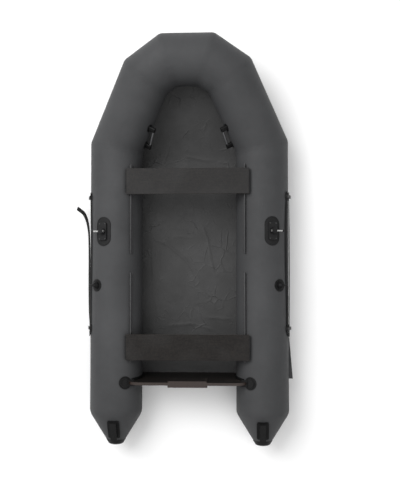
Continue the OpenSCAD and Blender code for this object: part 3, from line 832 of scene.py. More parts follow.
@dataclass(frozen=True)
class Webbing(Finish):
    """Woven polyester strap: diagonal ribs, and loose fuzz where the weave lets go."""

    rib: float = 1.9 * MM

    def wire(self, w: Wiring, shader: bpy.types.Node) -> None:
        """Twill ribs along the strap from its UV map, which is in metres."""
        flat, place = w.place(uv=True), w.place()
        x, y, _ = w.parts(flat)
        half = w.math("ABSOLUTE", w.math("SUBTRACT", w.math("FRACT", w.math("DIVIDE", x, 4.7 * MM)), 0.5))
        slant = w.plus(y, w.times(half, 4.7 * MM))
        ribs = w.math("ABSOLUTE", w.math("SINE", w.times(slant, math.pi / self.rib)))
        columns = w.math("ABSOLUTE", w.math("SINE", w.times(x, math.pi / (2.35 * MM))))
        height = w.times(ribs, columns)
        fuzz = w.noise(place, 900.0, 2.0)
        dust = w.use(Effect.DUST, place, Amount=0.6)["Mask"]
        # The valleys between the ribs are painted darker than the crowns: painted shade between the ribs.
        colour = w.blend(height, tuple(0.35 * c for c in self.colour), self.colour)
        colour = w.blend(w.remap(fuzz, 0.55, 0.8, 0.0, 0.5), colour, tuple(2.2 * c for c in self.colour))
        colour = w.blend(w.times(dust, 0.2), colour, (0.06, 0.06, 0.06))
        shader.inputs["Specular IOR Level"].default_value = 0.12
        shader.inputs["Sheen Weight"].default_value = 0.04
        self.connect(w, shader, colour, self.roughness, height, 0.3 * MM)


TUBE_CLOTH = CoatedFabric("tube_cloth", (0.048, 0.0488, 0.0505), 0.6)
TAPE_CLOTH = CoatedFabric("tape_cloth", (0.047, 0.0478, 0.0495), 0.62, thread=1.1 * MM)
FLOOR_CLOTH = CoatedFabric(
    "floor_cloth", (0.036, 0.036, 0.036), 0.5, thread=1.5 * MM, dust=0.5, specular=0.25, crease=2.4 * MM
)
PAD_RUBBER = MouldedRubber("pad_rubber", (0.0085, 0.0085, 0.009), 0.62)
BLACK_RUBBER = MouldedRubber("black_rubber", (0.0032, 0.0032, 0.0034), 0.52, worn=(0.025, 0.025, 0.025))
BLACK_PLASTIC = MouldedRubber(
    "black_plastic", (0.006, 0.006, 0.0065), 0.4, pebble=0.7 * MM, relief=0.03 * MM, worn=(0.025, 0.025, 0.025)
)
STEM_PLASTIC = MouldedRubber(
    "stem_plastic", (0.55, 0.55, 0.52), 0.4, pebble=0.6 * MM, relief=0.02 * MM, worn=(0.4, 0.4, 0.4), wear=0.3
)
RAIL_VINYL = MouldedRubber(
    "rail_vinyl", (0.05, 0.05, 0.052), 0.45, pebble=2 * MM, relief=0.02 * MM, worn=(0.09, 0.09, 0.09)
)
STEEL = Metal("stainless_steel", (0.58, 0.58, 0.57), 0.27)
DULL_STEEL = Metal("dull_steel", (0.10, 0.10, 0.10), 0.5)
GRIP_TUBE = Metal("anodised_tube", (0.26, 0.26, 0.27), 0.42, grain_way=(700.0, 40.0, 700.0))
FORE_BENCH_PLY = FilmPly("fore_bench_ply", (0.0125, 0.0122, 0.0125), 0.54, grain=(0.018, 0.0175, 0.0175))
REAR_BENCH_PLY = FilmPly("rear_bench_ply", (0.0042, 0.0034, 0.0031), 0.54, grain=(0.0095, 0.008, 0.0073))
TRANSOM_PLY = FilmPly("transom_ply", (0.004, 0.0034, 0.0032), 0.48, grain=(0.011, 0.009, 0.008))
PAD_PLY = FilmPly("pad_ply", (0.019, 0.0115, 0.009), 0.5, grain=(0.032, 0.018, 0.013), size=3 * MM)
BOARD_EDGE = PlyEdge("bench_ply_edge", (0.06, 0.045, 0.035), 0.5)
TRANSOM_EDGE = PlyEdge(
    "transom_ply_edge", (0.034, 0.020, 0.015), 0.5, dark=(0.013, 0.008, 0.006), across=(0.0, 0.9925, 0.1219)
)
STRAP_WEB = Webbing("strap_webbing", (0.008, 0.008, 0.0083), 0.85)


# ---------------------------------------------------------------- the hull's shape


@dataclass(frozen=True)
class HullShape:
    """The centre line and radius of the tubes, as the frame has them."""

    end_radius: float = 0.058
    side_corner: tuple[float, float, float] = (0.520, 0.663, 0.185)
    shoulder: tuple[float, float, float] = (0.297, 1.153, 0.305)
    nose: tuple[float, float, float] = (0.132, 1.265, 0.335)
    floor_angle: float = 40.0

    @cached_property
    def radius(self) -> float:
        """The radius of the tubes."""
        low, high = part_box("starboard_side_tube")
        return (high.z - low.z) / 2

    @cached_property
    def stern(self) -> Vector:
        """The centre of the joint between the side tube and the stern cone."""
        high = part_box("starboard_stern_cone")[1]
        return Vector((high.x - self.radius, high.y, high.z - self.radius))

    @cached_property
    def cone_length(self) -> float:
        """The length of a stern cone, without its tip."""
        low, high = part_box("starboard_stern_cone")
        return high.y - low.y

    @cached_property
    def corners(self) -> list[Vector]:
        """The corners of the centre line, from the stern cone to the far side of the nose."""
        nose = Vector(self.nose)
        across = Vector((-nose.x, nose.y, nose.z))
        return [self.stern, Vector(self.side_corner), Vector(self.shoulder), nose, across]

    @cached_property
    def runs(self) -> list[Vector]:
        """The direction of each straight run between two corners."""
        return [(b - a).normalized() for a, b in zip(self.corners, self.corners[1:])]

    def mitre(self, corner: int) -> tuple[Vector, Vector]:
        """A point and the forward normal of the mitre at a corner of the centre line."""
        return self.corners[corner], (self.runs[corner - 1] + self.runs[corner]).normalized()

    def along(self, y: float, angle: float) -> Matrix:
        """The frame of the starboard side tube's surface.

        Args:
            y: Where it is along the boat.
            angle: Its angle outboard from the top of the tube, in degrees.

        Returns:
            A matrix whose z leaves the tube and whose y is forward.
        """
        place = Matrix.Translation((self.stern.x, y, self.stern.z))
        turn = Matrix.Rotation(math.radians(angle), 4, "Y")
        return place @ turn @ Matrix.Translation((0, 0, self.radius))

    def around(self, point: Vector) -> tuple[int, float]:
        """Which run a point of the hull belongs to, and its angle round it.

        Args:
            point: A point on the skin, on either side of the boat.

        Returns:
            The run's number, and the angle in degrees from the tube's underside,
            positive towards the inside of the boat.
        """
        p = to_starboard(point)
        run = 0
        for corner in (1, 2, 3):
            centre, normal = self.mitre(corner)
            if (p - centre).dot(normal) > 0:
                run = corner
        direction = self.runs[run]
        radial = p - self.corners[run]
        radial -= radial.dot(direction) * direction
        down = -(UP - UP.dot(direction) * direction).normalized()
        inboard = UP.cross(direction).normalized()
        return run, math.degrees(math.atan2(radial.dot(inboard), radial.dot(down)))


HULL = HullShape()


@dataclass
class Studio:
    """Camera, lamps and the pale floor."""

    eye: tuple[float, float, float] = (0.469, -0.3, 7.0)
    focus: tuple[float, float, float] = (0.0, 0.0, 0.185)
    lens: float = 68.98
    shift: tuple[float, float] = (0.0219, -0.0201)
    key_energy: float = 700.0
    sky: float = 0.72

    def build(self) -> None:
        """Makes all of it."""
        self._camera()
        self._lamp("key_lamp", (-4.2, 4.0, 7.5), 7.0, self.key_energy)
        self._lamp("fill_lamp", (3.5, -3.0, 8.5), 6.0, 0.12 * self.key_energy)
        self._sky()
        self._floor()

    def _camera(self) -> None:
        """The camera looks straight down from a little to starboard."""
        data = bpy.data.cameras.new("camera")
        data.lens, data.sensor_width = self.lens, 36.0
        data.shift_x, data.shift_y = self.shift
        data.clip_end = 60.0
        camera = bpy.data.objects.new("camera", data)
        bpy.context.scene.collection.objects.link(camera)
        back = (Vector(self.eye) - Vector(self.focus)).normalized()
        right = Vector((0, 1, 0)).cross(back).normalized()
        turn = Matrix((right, back.cross(right), back)).transposed().to_4x4()
        camera.matrix_world = Matrix.Translation(self.eye) @ turn
        bpy.context.scene.camera = camera

    def _lamp(self, name: str, place: Sequence[float], size: float, energy: float) -> None:
        """A square soft lamp that looks at the boat."""
        data = bpy.data.lights.new(name, "AREA")
        data.energy, data.size = energy, size
        lamp = bpy.data.objects.new(name, data)
        bpy.context.scene.collection.objects.link(lamp)
        lamp.location = place
        lamp.rotation_euler = (Vector((0, 0, 0)) - Vector(place)).to_track_quat("-Z", "Y").to_euler()

    def _sky(self) -> None:
        """An even white surrounding that is brighter overhead than at the horizon."""
        world = bpy.data.worlds.new("studio")
        world.use_nodes = True
        world.node_tree.nodes.clear()
        w = Wiring(world.node_tree)
        _, _, up = w.parts(w.node("ShaderNodeTexCoord").outputs["Generated"])
        strength = w.remap(up, 0.0, 0.9, 0.45 * self.sky, 1.25 * self.sky)
        light = w.node("ShaderNodeBackground", {"Color": (1.0, 1.0, 1.0, 1.0), "Strength": strength})
        w.node("ShaderNodeOutputWorld", {0: light.outputs[0]})
        bpy.context.scene.world = world
        bpy.context.scene.view_settings.view_transform = "Standard"

    def _floor(self) -> None:
        """A wide pale floor."""
        deselect_all()
        bpy.ops.mesh.primitive_plane_add(size=60, location=(0, 0, 0))
        floor = bpy.context.object
        floor.name = "studio_floor"
        made = bpy.data.materials.new("studio_floor")
        made.use_nodes = True
        shader = made.node_tree.nodes["Principled BSDF"]
        shader.inputs["Base Color"].default_value = (0.96, 0.96, 0.96, 1.0)
        shader.inputs["Roughness"].default_value = 0.95
        shader.inputs["Specular IOR Level"].default_value = 0.0
        floor.data.materials.append(made)


@dataclass
class HullSkin:
    """The fabric of the inflated tubes and stern cones, with its seam tapes."""

    around: int = 144
    seam_round: float = 19 * MM
    cone_round: float = 26 * MM
    tape_half: float = 20 * MM
    tape_t: float = 0.5 * MM
    fabric_t: float = 1.2 * MM
    pucker: float = 1.1 * MM
    pucker_reach: float = 42 * MM
    waver: float = 0.8 * MM
    valve_hole: float = 0.024
    valve_ring: float = 0.019
    floor_tape: tuple[float, float] = (26.0, 47.0)
    rings: tuple[tuple[float, ...], ...] = (
        (0.027, 0.038, 0.05, 0.068, 0.09, 0.13, 0.19, 0.28, 0.4, 0.6, 0.85, 1.1, 1.35, 1.6),
        (0.027, 0.038, 0.05, 0.068, 0.09, 0.13, 0.19, 0.25),
        (0.027, 0.038, 0.05),
        (0.027, 0.038, 0.05, 0.068),
    )
    stern_rings: tuple[float, ...] = (0.04, 0.09)
    cone_rings: tuple[float, ...] = (0.05, 0.08, 0.12, 0.16, 0.19)

    def build(self) -> None:
        """Makes the skin, its seam tapes and the tape along the floor."""
        parts = [self._run(k) for k in range(4)]
        parts.append(self._cone())
        skin = join(parts)
        apply_modifier(
            skin, "MIRROR", use_axis=(True, False, False), use_mirror_merge=True, merge_threshold=SNAP
        )
        merge(skin, SNAP)
        face_outwards(skin)
        self._round_seams(skin)
        self._cut_valve_holes(skin)
        self._gather(skin)
        for name, test in (("seam_tapes", self._is_seam), ("floor_tape", self._is_floor_edge)):
            self._tape(skin, name, test)
        apply_modifier(skin, "SOLIDIFY", thickness=self.fabric_t, offset=-1.0)
        tubes = ("side_tube", "bow_tube", "bow_corner_tube", "stern_cone")
        sides = [f"{side.word}_{part}" for side in Side for part in tubes]
        finish_piece(
            skin, "hull_skin", TUBE_CLOTH,
            stands_for=(*sides, "bow_front_tube"), smooth=50, even=False,
        )

    def _run(self, k: int) -> Object:
        """One straight run of tube, cut at its mitres and scored with rings."""
        start, end, run = HULL.corners[k], HULL.corners[k + 1], HULL.runs[k]
        roll = Vector((1, 0, 0))
        for a, b in zip(HULL.runs[:k], HULL.runs[1 : k + 1]):
            roll = a.rotation_difference(b) @ roll
        spare = 1.2 * HULL.radius
        length = (end - start).length + 2 * spare
        deselect_all()
        bpy.ops.mesh.primitive_cylinder_add(
            vertices=self.around, radius=HULL.radius, depth=length, end_fill_type="NOTHING"
        )
        obj = bpy.context.object
        self._lay_cloth(obj, length)
        turn = Matrix((roll, run.cross(roll), run)).transposed().to_4x4()
        settle(obj, Matrix.Translation((start + end) / 2) @ turn)
        first = (start, run) if k == 0 else HULL.mitre(k)
        last = (Vector((0, 0, 0)), Vector((-1, 0, 0))) if k == 3 else HULL.mitre(k + 1)
        with editing(obj):
            score(first[0], -first[1], clear=True)
            score(last[0], last[1], clear=True)
            for ring in self.rings[k]:
                if k:
                    score(first[0] + ring * first[1], first[1])
                if k < 3:
                    score(last[0] - ring * last[1], last[1])
            if k == 0:
                for y in self._side_rings():
                    score(Vector((0, y, 0)), Vector((0, 1, 0)))
        return obj

    def _side_rings(self) -> list[float]:
        """Where a side tube needs rings of its own: near the cone, the valve and the floor's end."""
        valve = sum(p.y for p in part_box("starboard_valve_body")) / 2
        floor_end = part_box("floor_panel")[0].y
        stern = HULL.stern.y
        aft = [stern + ring for ring in self.stern_rings]
        return [*aft, floor_end, valve - self.valve_ring, valve + self.valve_ring]

    def _cone(self) -> Object:
        """A stern cone with its small end closed."""
        deselect_all()
        bpy.ops.mesh.primitive_cone_add(
            vertices=self.around, radius1=HULL.radius, radius2=HULL.end_radius,
            depth=HULL.cone_length, end_fill_type="NOTHING",
        )
        obj = bpy.context.object
        self._lay_cloth(obj, HULL.cone_length)
        turn = Matrix((Vector((1, 0, 0)), Vector((0, 0, 1)), Vector((0, -1, 0)))).transposed().to_4x4()
        settle(obj, Matrix.Translation(HULL.stern - Vector((0, HULL.cone_length / 2, 0))) @ turn)
        end = HULL.stern.y - HULL.cone_length
        with editing(obj):
            for ring in self.cone_rings:
                score(Vector((0, HULL.stern.y - ring, 0)), Vector((0, 1, 0)))
            pick_edges(obj, lambda a, b: max(a.y, b.y) < end + 1e-5)
            bpy.ops.mesh.edge_face_add()
        return obj

    def _lay_cloth(self, obj: Object, length: float) -> None:
        """Gives a tube about local Z a UV map in metres, round it and along it."""
        layer = obj.data.uv_layers.active or obj.data.uv_layers.new(name="UVMap")
        layer.name = "UVMap"
        for face in obj.data.polygons:
            middle = math.atan2(face.center.y, face.center.x)
            for loop in face.loop_indices:
                point = obj.data.vertices[obj.data.loops[loop].vertex_index].co
                turn = math.atan2(point.y, point.x)
                while turn - middle > math.pi:
                    turn -= math.tau
                while turn - middle < -math.pi:
                    turn += math.tau
                layer.data[loop].uv = (turn * HULL.radius, point.z + length / 2)

    def _round_seams(self, skin: Object) -> None:
        """Rounds the mitres, and more widely where the cones begin."""

        def on_mitre(a: Vector, b: Vector) -> bool:
            for corner in (1, 2, 3):
                centre, normal = HULL.mitre(corner)
                ends = [to_starboard(v) for v in (a, b)]
                if all(abs((v - centre).dot(normal)) < SNAP for v in ends):
                    return True
            return False

        stern = HULL.stern.y
        with editing(skin):
            pick_edges(skin, on_mitre)
            bpy.ops.mesh.bevel(offset=self.seam_round, segments=5, affect="EDGES")
            pick_edges(skin, lambda a, b: abs(a.y - stern) < SNAP and abs(b.y - stern) < SNAP)
            bpy.ops.mesh.bevel(offset=self.cone_round, segments=6, affect="EDGES")

    def _cut_valve_holes(self, skin: Object) -> None:
        """Opens the skin under the rim of each valve."""
        boxes = [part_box(f"{side.word}_valve_body") for side in Side]
        centres = [(low + high) / 2 for low, high in boxes]
        with editing(skin):
            pick_faces(skin, lambda c, n: any((c - p).length < self.valve_hole for p in centres))
            bpy.ops.mesh.delete(type="FACE")

    def _gather(self, skin: Object) -> None:
        """Gathers the cloth into faint puckers near the seams, and lets the tubes waver a little."""
        mesh = skin.data
        normals = [n.vector.copy() for n in mesh.vertex_normals]
        seams = [HULL.mitre(corner) for corner in (1, 2, 3)] + [(HULL.stern, Vector((0, 1, 0)))]
        for vertex, normal in zip(mesh.vertices, normals):
            p = vertex.co
            q = to_starboard(p)
            near = min(abs((q - centre).dot(axis)) for centre, axis in seams)
            fall = math.exp(-((near / self.pucker_reach) ** 2))
            folds = noise.noise(p * 26.0) + 0.6 * noise.noise(p * 55.0 + Vector((7, 3, 1)))
            waver = noise.noise(p * 3.1 + Vector((2, 9, 4)))
            vertex.co = p + normal * (self.pucker * fall * folds + self.waver * waver)

    def _is_seam(self, centre: Vector, normal: Vector) -> bool:
        """Whether a face of the skin lies under the tape of a mitre."""
        point = to_starboard(centre)
        return any(abs((point - p).dot(n)) < self.tape_half for p, n in map(HULL.mitre, (1, 2, 3)))

    def _is_floor_edge(self, centre: Vector, normal: Vector) -> bool:
        """Whether a face of the skin lies under the tape that holds the floor."""
        if centre.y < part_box("floor_panel")[0].y:
            return False
        return self.floor_tape[0] < HULL.around(centre)[1] < self.floor_tape[1]

    def _tape(self, skin: Object, name: str, test: Callable[[Vector, Vector], bool]) -> None:
        """Separates a copy of some faces of the skin, and thickens it outwards."""
        with editing(skin):
            pick_faces(skin, test)
            bpy.ops.mesh.duplicate()
            bpy.ops.mesh.separate(type="SELECTED")
        tape = next(o for o in bpy.context.selected_objects if o != skin)
        apply_modifier(tape, "SOLIDIFY", thickness=self.tape_t, offset=1.0)
        finish_piece(tape, name, TAPE_CLOTH, smooth=50, even=False)


@dataclass(frozen=True)
class Crease:
    """A fold in the floor: where it runs, how high it stands and how wide it is."""

    points: tuple[tuple[float, float], ...]
    height: float
    width: float

    def lift(self, x: float, y: float) -> float:
        """How far the fold lifts the floor at a point."""
        best, share = 1e9, 0.0
        total = len(self.points) - 1
        for k, (a, b) in enumerate(zip(self.points, self.points[1:])):
            dx, dy = b[0] - a[0], b[1] - a[1]
            t = ((x - a[0]) * dx + (y - a[1]) * dy) / (dx * dx + dy * dy)
            t = min(1.0, max(0.0, t))
            distance = math.hypot(x - a[0] - t * dx, y - a[1] - t * dy)
            if distance < best:
                best, share = distance, (k + t) / total
        if best > 4 * self.width:
            return 0.0
        taper = min(1.0, 5.0 * min(share, 1 - share) + 0.15)
        return self.height * taper * math.exp(-best / self.width)


@dataclass
class FloorSheet:
    """The fabric floor, stretched between the tubes, with the creases of its packing."""

    columns: int = 150
    rows: int = 296
    sag: float = 9 * MM
    ripple: float = 1.6 * MM
    thickness: float = 1.0 * MM
    ease: float = 90 * MM
    ease_steps: int = 4
    held_end: float = 0.12
    creases: tuple[Crease, ...] = (
        Crease(((-0.299, 0.027), (-0.168, -0.027), (-0.041, -0.134), (0.065, -0.272)), 6 * MM, 6 * MM),
        Crease(((-0.275, -0.02), (-0.279, -0.15), (-0.272, -0.29)), 5 * MM, 6 * MM),
        Crease(((-0.232, -0.05), (-0.226, -0.17), (-0.217, -0.30)), 4 * MM, 6 * MM),
        Crease(((0.086, 0.12), (0.128, -0.007), (0.150, -0.145), (0.181, -0.26)), 5 * MM, 6 * MM),
        Crease(((-0.105, -0.367), (-0.052, -0.42)), 3 * MM, 6 * MM),
        Crease(((0.034, -0.35), (0.15, -0.42)), 3 * MM, 6 * MM),
        Crease(((0.11, -0.556), (0.32, -0.57)), 4 * MM, 6 * MM),
        Crease(((-0.13, 0.034), (0.03, 0.022)), 3 * MM, 6 * MM),
        Crease(((0.225, -0.05), (0.305, -0.107)), 3 * MM, 6 * MM),
        Crease(((-0.264, -0.40), (-0.243, -0.53)), 3 * MM, 6 * MM),
        Crease(((-0.05, 0.62), (0.16, 0.58)), 3 * MM, 7 * MM),
        Crease(((-0.2, 0.55), (-0.14, 0.72)), 3 * MM, 7 * MM),
        Crease(((-0.18, -0.62), (0.02, -0.6), (0.2, -0.66)), 3 * MM, 7 * MM),
    )

    def build(self) -> None:
        """Makes the sheet as a grid whose points are moved into place."""
        deselect_all()
        bpy.ops.mesh.primitive_grid_add(x_subdivisions=self.columns, y_subdivisions=self.rows, size=2)
        floor = bpy.context.object
        stations = self._stations()
        first, last = stations[0][0], stations[-1][0]
        layer = floor.data.uv_layers.active
        for vertex in floor.data.vertices:
            across, along = vertex.co.x, (vertex.co.y + 1) / 2
            vertex.co = self._point(stations, across, first + along * (last - first))
        for loop in floor.data.loops:
            point = floor.data.vertices[loop.vertex_index].co
            layer.data[loop.index].uv = (point.x, point.y)
        apply_modifier(floor, "SOLIDIFY", thickness=self.thickness, offset=0.0)
        finish_piece(
            floor, "floor_sheet", FLOOR_CLOTH,
            stands_for=("floor_panel", "bow_floor_panel"), smooth=60, even=False,
        )

    def _stations(self) -> list[tuple[float, float, float]]:
        """Where the floor's edge turns: y, half width and height, from aft to the nose."""
        angle = math.radians(HULL.floor_angle)
        inset = HULL.radius * math.sin(angle)
        level = HULL.stern.z - HULL.radius * math.cos(angle)
        found = [(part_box("floor_panel")[0].y, HULL.stern.x - inset, level)]
        for corner in (1, 2, 3):
            point = HULL.corners[corner]
            a, b = (Vector((r.y, -r.x)).normalized() for r in HULL.runs[corner - 1 : corner + 1])
            place = Vector((point.x, point.y)) - inset * (a + b) / (1 + a.dot(b))
            found.append((place.y, place.x, level + point.z - HULL.stern.z))
        return found

    def _level(self, stations: list[tuple[float, float, float]], y: float) -> float:
        """The height of the floor at a place along the boat, with its bends eased."""
        total = 0.0
        for step in range(-self.ease_steps, self.ease_steps + 1):
            place = y + step * self.ease / self.ease_steps
            place = min(max(place, stations[0][0]), stations[-1][0])
            k = max(i for i in range(len(stations) - 1) if i == 0 or stations[i][0] <= place)
            (y0, _, z0), (y1, _, z1) = stations[k : k + 2]
            total += z0 + (place - y0) / (y1 - y0) * (z1 - z0)
        return total / (2 * self.ease_steps + 1)

    def _point(self, stations: list[tuple[float, float, float]], across: float, y: float) -> Vector:
        """A point of the floor, from how far across (-1 to 1) and how far along it is."""
        k = 0
        while k < len(stations) - 2 and y > stations[k + 1][0]:
            k += 1
        (y0, w0, _), (y1, w1, _) = stations[k : k + 2]
        t = (y - y0) / (y1 - y0)
        x = across * (w0 + t * (w1 - w0))
        z = self._level(stations, y)
        edge = 1 - abs(across) ** 3
        ends = min(1.0, (y - stations[0][0]) / self.held_end, (stations[-1][0] - y) / self.held_end)
        hold = max(0.0, edge * min(1.0, ends))
        place = Vector((x, y, 0.0))
        waves = noise.noise(place * 5.0) + 0.5 * noise.noise(place * 13.0 + Vector((4, 4, 4)))
        folds = sum(crease.lift(x, y) for crease in self.creases)
        return Vector((x, y, z + hold * (folds - self.sag + self.ripple * 2 * waves)))


# ---------------------------------------------------------------- straps


@dataclass(frozen=True)
class GrabStrap:
    """A webbing strap along a side tube, doubled back through the aft anchor.

    Its route repeats the frame's: along the boat and over the tube in millimetres,
    the angle outboard from the tube's top and the strap's twist in degrees.
    """

    side: Side
    route: tuple[tuple[float, float, float, float], ...]
    far_end: str
    width: float = 28 * MM
    thickness: float = 2.4 * MM
    steps: int = 7

    def build(self) -> None:
        """Makes the strap as a ribbon of rings along its route."""
        rings = self._rings()
        mesh = bpy.data.meshes.new("strap")
        outline = self._outline()
        count = len(outline)
        points = [
            centre + x * across + z * face
            for centre, across, face, _ in rings
            for x, z in outline
        ]
        quads = [
            (i * count + k, (i + 1) * count + k, (i + 1) * count + (k + 1) % count, i * count + (k + 1) % count)
            for i in range(len(rings) - 1)
            for k in range(count)
        ]
        ends = [tuple(range(count)), tuple(reversed(range((len(rings) - 1) * count, len(rings) * count)))]
        mesh.from_pydata([tuple(p) for p in points], [], [*quads, *ends])
        layer = mesh.uv_layers.new(name="UVMap")
        for face in mesh.polygons:
            for loop in face.loop_indices:
                ring, spot = divmod(mesh.loops[loop].vertex_index, count)
                layer.data[loop].uv = (outline[spot][0], rings[ring][3])
        strap = bpy.data.objects.new("strap", mesh)
        bpy.context.scene.collection.objects.link(strap)
        face_outwards(strap)
        name = f"{self.side.word}_grab_strap"
        finish_piece(
            strap, f"{name}_web", STRAP_WEB, stands_for=(name,), smooth=50, even=False
        )
        LOG.info("%s is %.3f m long", name, rings[-1][3])

    def _outline(self) -> list[tuple[float, float]]:
        """The strap's section, with thick woven edges."""
        w, t = self.width / 2, self.thickness / 2
        half = [(-w, 0.5 * t), (-w + 0.6 * MM, t), (-w + 2.2 * MM, t), (-w + 3 * MM, 0.82 * t), (0.0, 0.82 * t)]
        top = half + [(-x, z) for x, z in reversed(half[:-1])]
        return top + [(-x, -z) for x, z in top]

    def _rings(self) -> list[tuple[Vector, Vector, Vector, float]]:
        """Centre, direction across, direction out and length so far of each ring."""
        found = []
        last = len(self.route) - 1
        for i in range(last):
            near = [self.route[min(max(k, 0), last)] for k in (i - 1, i, i + 1, i + 2)]
            for step in range(self.steps):
                found.append(self._on_route(self._between(near, step / self.steps)))
        found.append(self._on_route(self.route[last]))
        rings, length = [], 0.0
        for i, (centre, out) in enumerate(found):
            along = (found[min(i + 1, len(found) - 1)][0] - found[max(i - 1, 0)][0]).normalized()
            across = along.cross(out).normalized()
            length += (centre - found[i - 1][0]).length if i else 0.0
            rings.append((centre, across, across.cross(along), length))
        return rings

    def _between(self, near: Sequence[Sequence[float]], t: float) -> list[float]:
        """A point of the spline through the route, between its second and third points."""
        return [
            0.5 * (2 * b + (c - a) * t + (2 * a - 5 * b + 4 * c - d) * t * t + (3 * b - a - 3 * c + d) * t**3)
            for a, b, c, d in zip(*near)
        ]

    def _on_route(self, point: Sequence[float]) -> tuple[Vector, Vector]:
        """Place and outward direction of the strap at a point of its route."""
        y, angle, height, twist = point
        sign = self.side.value
        turn, face = math.radians(angle), math.radians(angle - twist)
        reach = HULL.radius + height * MM
        out, up = reach * math.sin(turn), reach * math.cos(turn)
        centre = Vector((sign * (HULL.stern.x + out), y * MM, HULL.stern.z + up))
        return centre, Vector((sign * math.sin(face), 0, math.cos(face)))


STRAPS = (
    GrabStrap(
        Side.STARBOARD,
        (
            (336, 84.5, 5, 0), (302, 84.5, 5, 0), (230, 84.5, 5, 2), (80, 84, 6, 5), (-120, 84, 6, 6),
            (-320, 84, 6, 5), (-500, 84, 5, 3), (-625, 84.5, 5, 0), (-658, 83, 6, 0), (-670, 76, 7, 0),
            (-658, 69, 6, 0), (-625, 67.5, 5, 0), (-480, 67, 4, 0), (-200, 63, 4, 0), (60, 62, 4, 0),
            (220, 65, 4, 0), (302, 67.5, 5, 0), (336, 67.5, 5, 0),
        ),
        "object",
    ),
    GrabStrap(
        Side.PORT,
        (
            (336, 67.5, 5, 0), (302, 67.5, 5, 0), (220, 66, 4, 0), (60, 64, 4, 0), (-200, 64, 4, 0),
            (-480, 67, 4, 0), (-625, 67.5, 5, 0), (-658, 69, 6, 0), (-670, 76, 7, 0), (-658, 83, 6, 0),
            (-625, 84.5, 5, 0), (-500, 84.5, 8, 20), (-320, 84.5, 9, 28), (-120, 85, 9, 30), (20, 86, 12, 32),
            (93, 89, 20, 40), (150, 94, 36, 52), (195, 99, 64, 66), (223, 103, 104, 72), (237, 106, 130, 76),
        ),
        "bare",
    ),
)


# ---------------------------------------------------------------- softened copies


@dataclass(frozen=True)
class Fitting:
    """A frame node shown by a softened copy of itself.

    An asterisk in the node's or the body's name stands for each side of the boat.
    """

    node: str
    word: str
    finish: Finish
    slot: str
    rounding: float
    segments: int = 3
    body: str = "hull"
    smooth: float = 35.0
    even: bool = True

    def build(self) -> None:
        """Makes the copy, or one for each side."""
        names = [(side.fill(self.node), side.fill(self.body)) for side in Side]
        for node, body in dict.fromkeys(names):
            copy = dressed_copy(node, self.rounding * MM, self.segments)
            name = f"{node}_{self.word}"
            finish_piece(copy, name, self.finish, body, (node,), self.smooth, self.even)


def moulding(node: str, finish: Finish, slot: str, rounding: float, segments: int = 3, **more: object) -> Fitting:
    """A moulded fitting, with its rounding in millimetres."""
    return Fitting(node, "moulding", finish, slot, rounding, segments, **more)


def steel(node: str, finish: Finish, rounding: float, segments: int = 2, **more: object) -> Fitting:
    """A steel fitting, with its rounding in millimetres."""
    return Fitting(node, "steel", finish, "stainless", rounding, segments, **more)


FITTINGS = (
    Fitting("*_seat_rails", "vinyl", RAIL_VINYL, "rail_vinyl", 0.5, 2, even=False),
    steel("motor_pad_bolts", DULL_STEEL, 0.7, 3),
    moulding("*_transom_holder", BLACK_RUBBER, "moulded_rubber", 1.8),
    moulding("*_fore_strap_anchor", BLACK_RUBBER, "moulded_rubber", 1.4),
    moulding("*_aft_strap_anchor", BLACK_RUBBER, "moulded_rubber", 1.4),
    moulding("*_rowlock_swivel", BLACK_PLASTIC, "black_plastic", 1.6, body="*_rowlock"),
    steel("*_rowlock_pin", STEEL, 0.7, 3, body="*_rowlock"),
    moulding("*_rowlock_base", PAD_RUBBER, "moulded_rubber", 1.5),
    moulding("*_oar_holder", BLACK_RUBBER, "moulded_rubber", 1.3),
    moulding("*_bow_handle_feet", BLACK_RUBBER, "moulded_rubber", 2.0),
    Fitting("*_bow_handle_grip", "tube", GRIP_TUBE, "grip_tube", 0.5, 2),
    moulding("*_stern_handle", BLACK_RUBBER, "moulded_rubber", 3.0, 4),
    moulding("*_cone_tip", BLACK_RUBBER, "moulded_rubber", 1.0, 2, smooth=45.0),
    moulding("*_valve_body", PAD_RUBBER, "black_plastic", 0.9),
    moulding("*_valve_stem", STEM_PLASTIC, "stem_plastic", 0.6, 2, body="*_valve_plunger"),
    moulding("tow_ring_patch", BLACK_RUBBER, "moulded_rubber", 1.2),
    steel("tow_ring", STEEL, 0.3, body="tow_ring", smooth=60.0, even=False),
)


# ---------------------------------------------------------------- plywood


def show_layers(board: Object, across: Vector, face: FilmPly, edge: PlyEdge) -> None:
    """Gives a board's faces their film, and its cut edges the look of plywood layers.

    Args:
        board: The board, still bare.
        across: The direction through its thickness.
        face: The finish of its two faces.
        edge: The finish of its edges.
    """
    board.data.materials.append(face.material())
    board.data.materials.append(edge.material())
    for polygon in board.data.polygons:
        polygon.material_index = int(abs(polygon.normal.dot(across)) < EDGE_TILT)


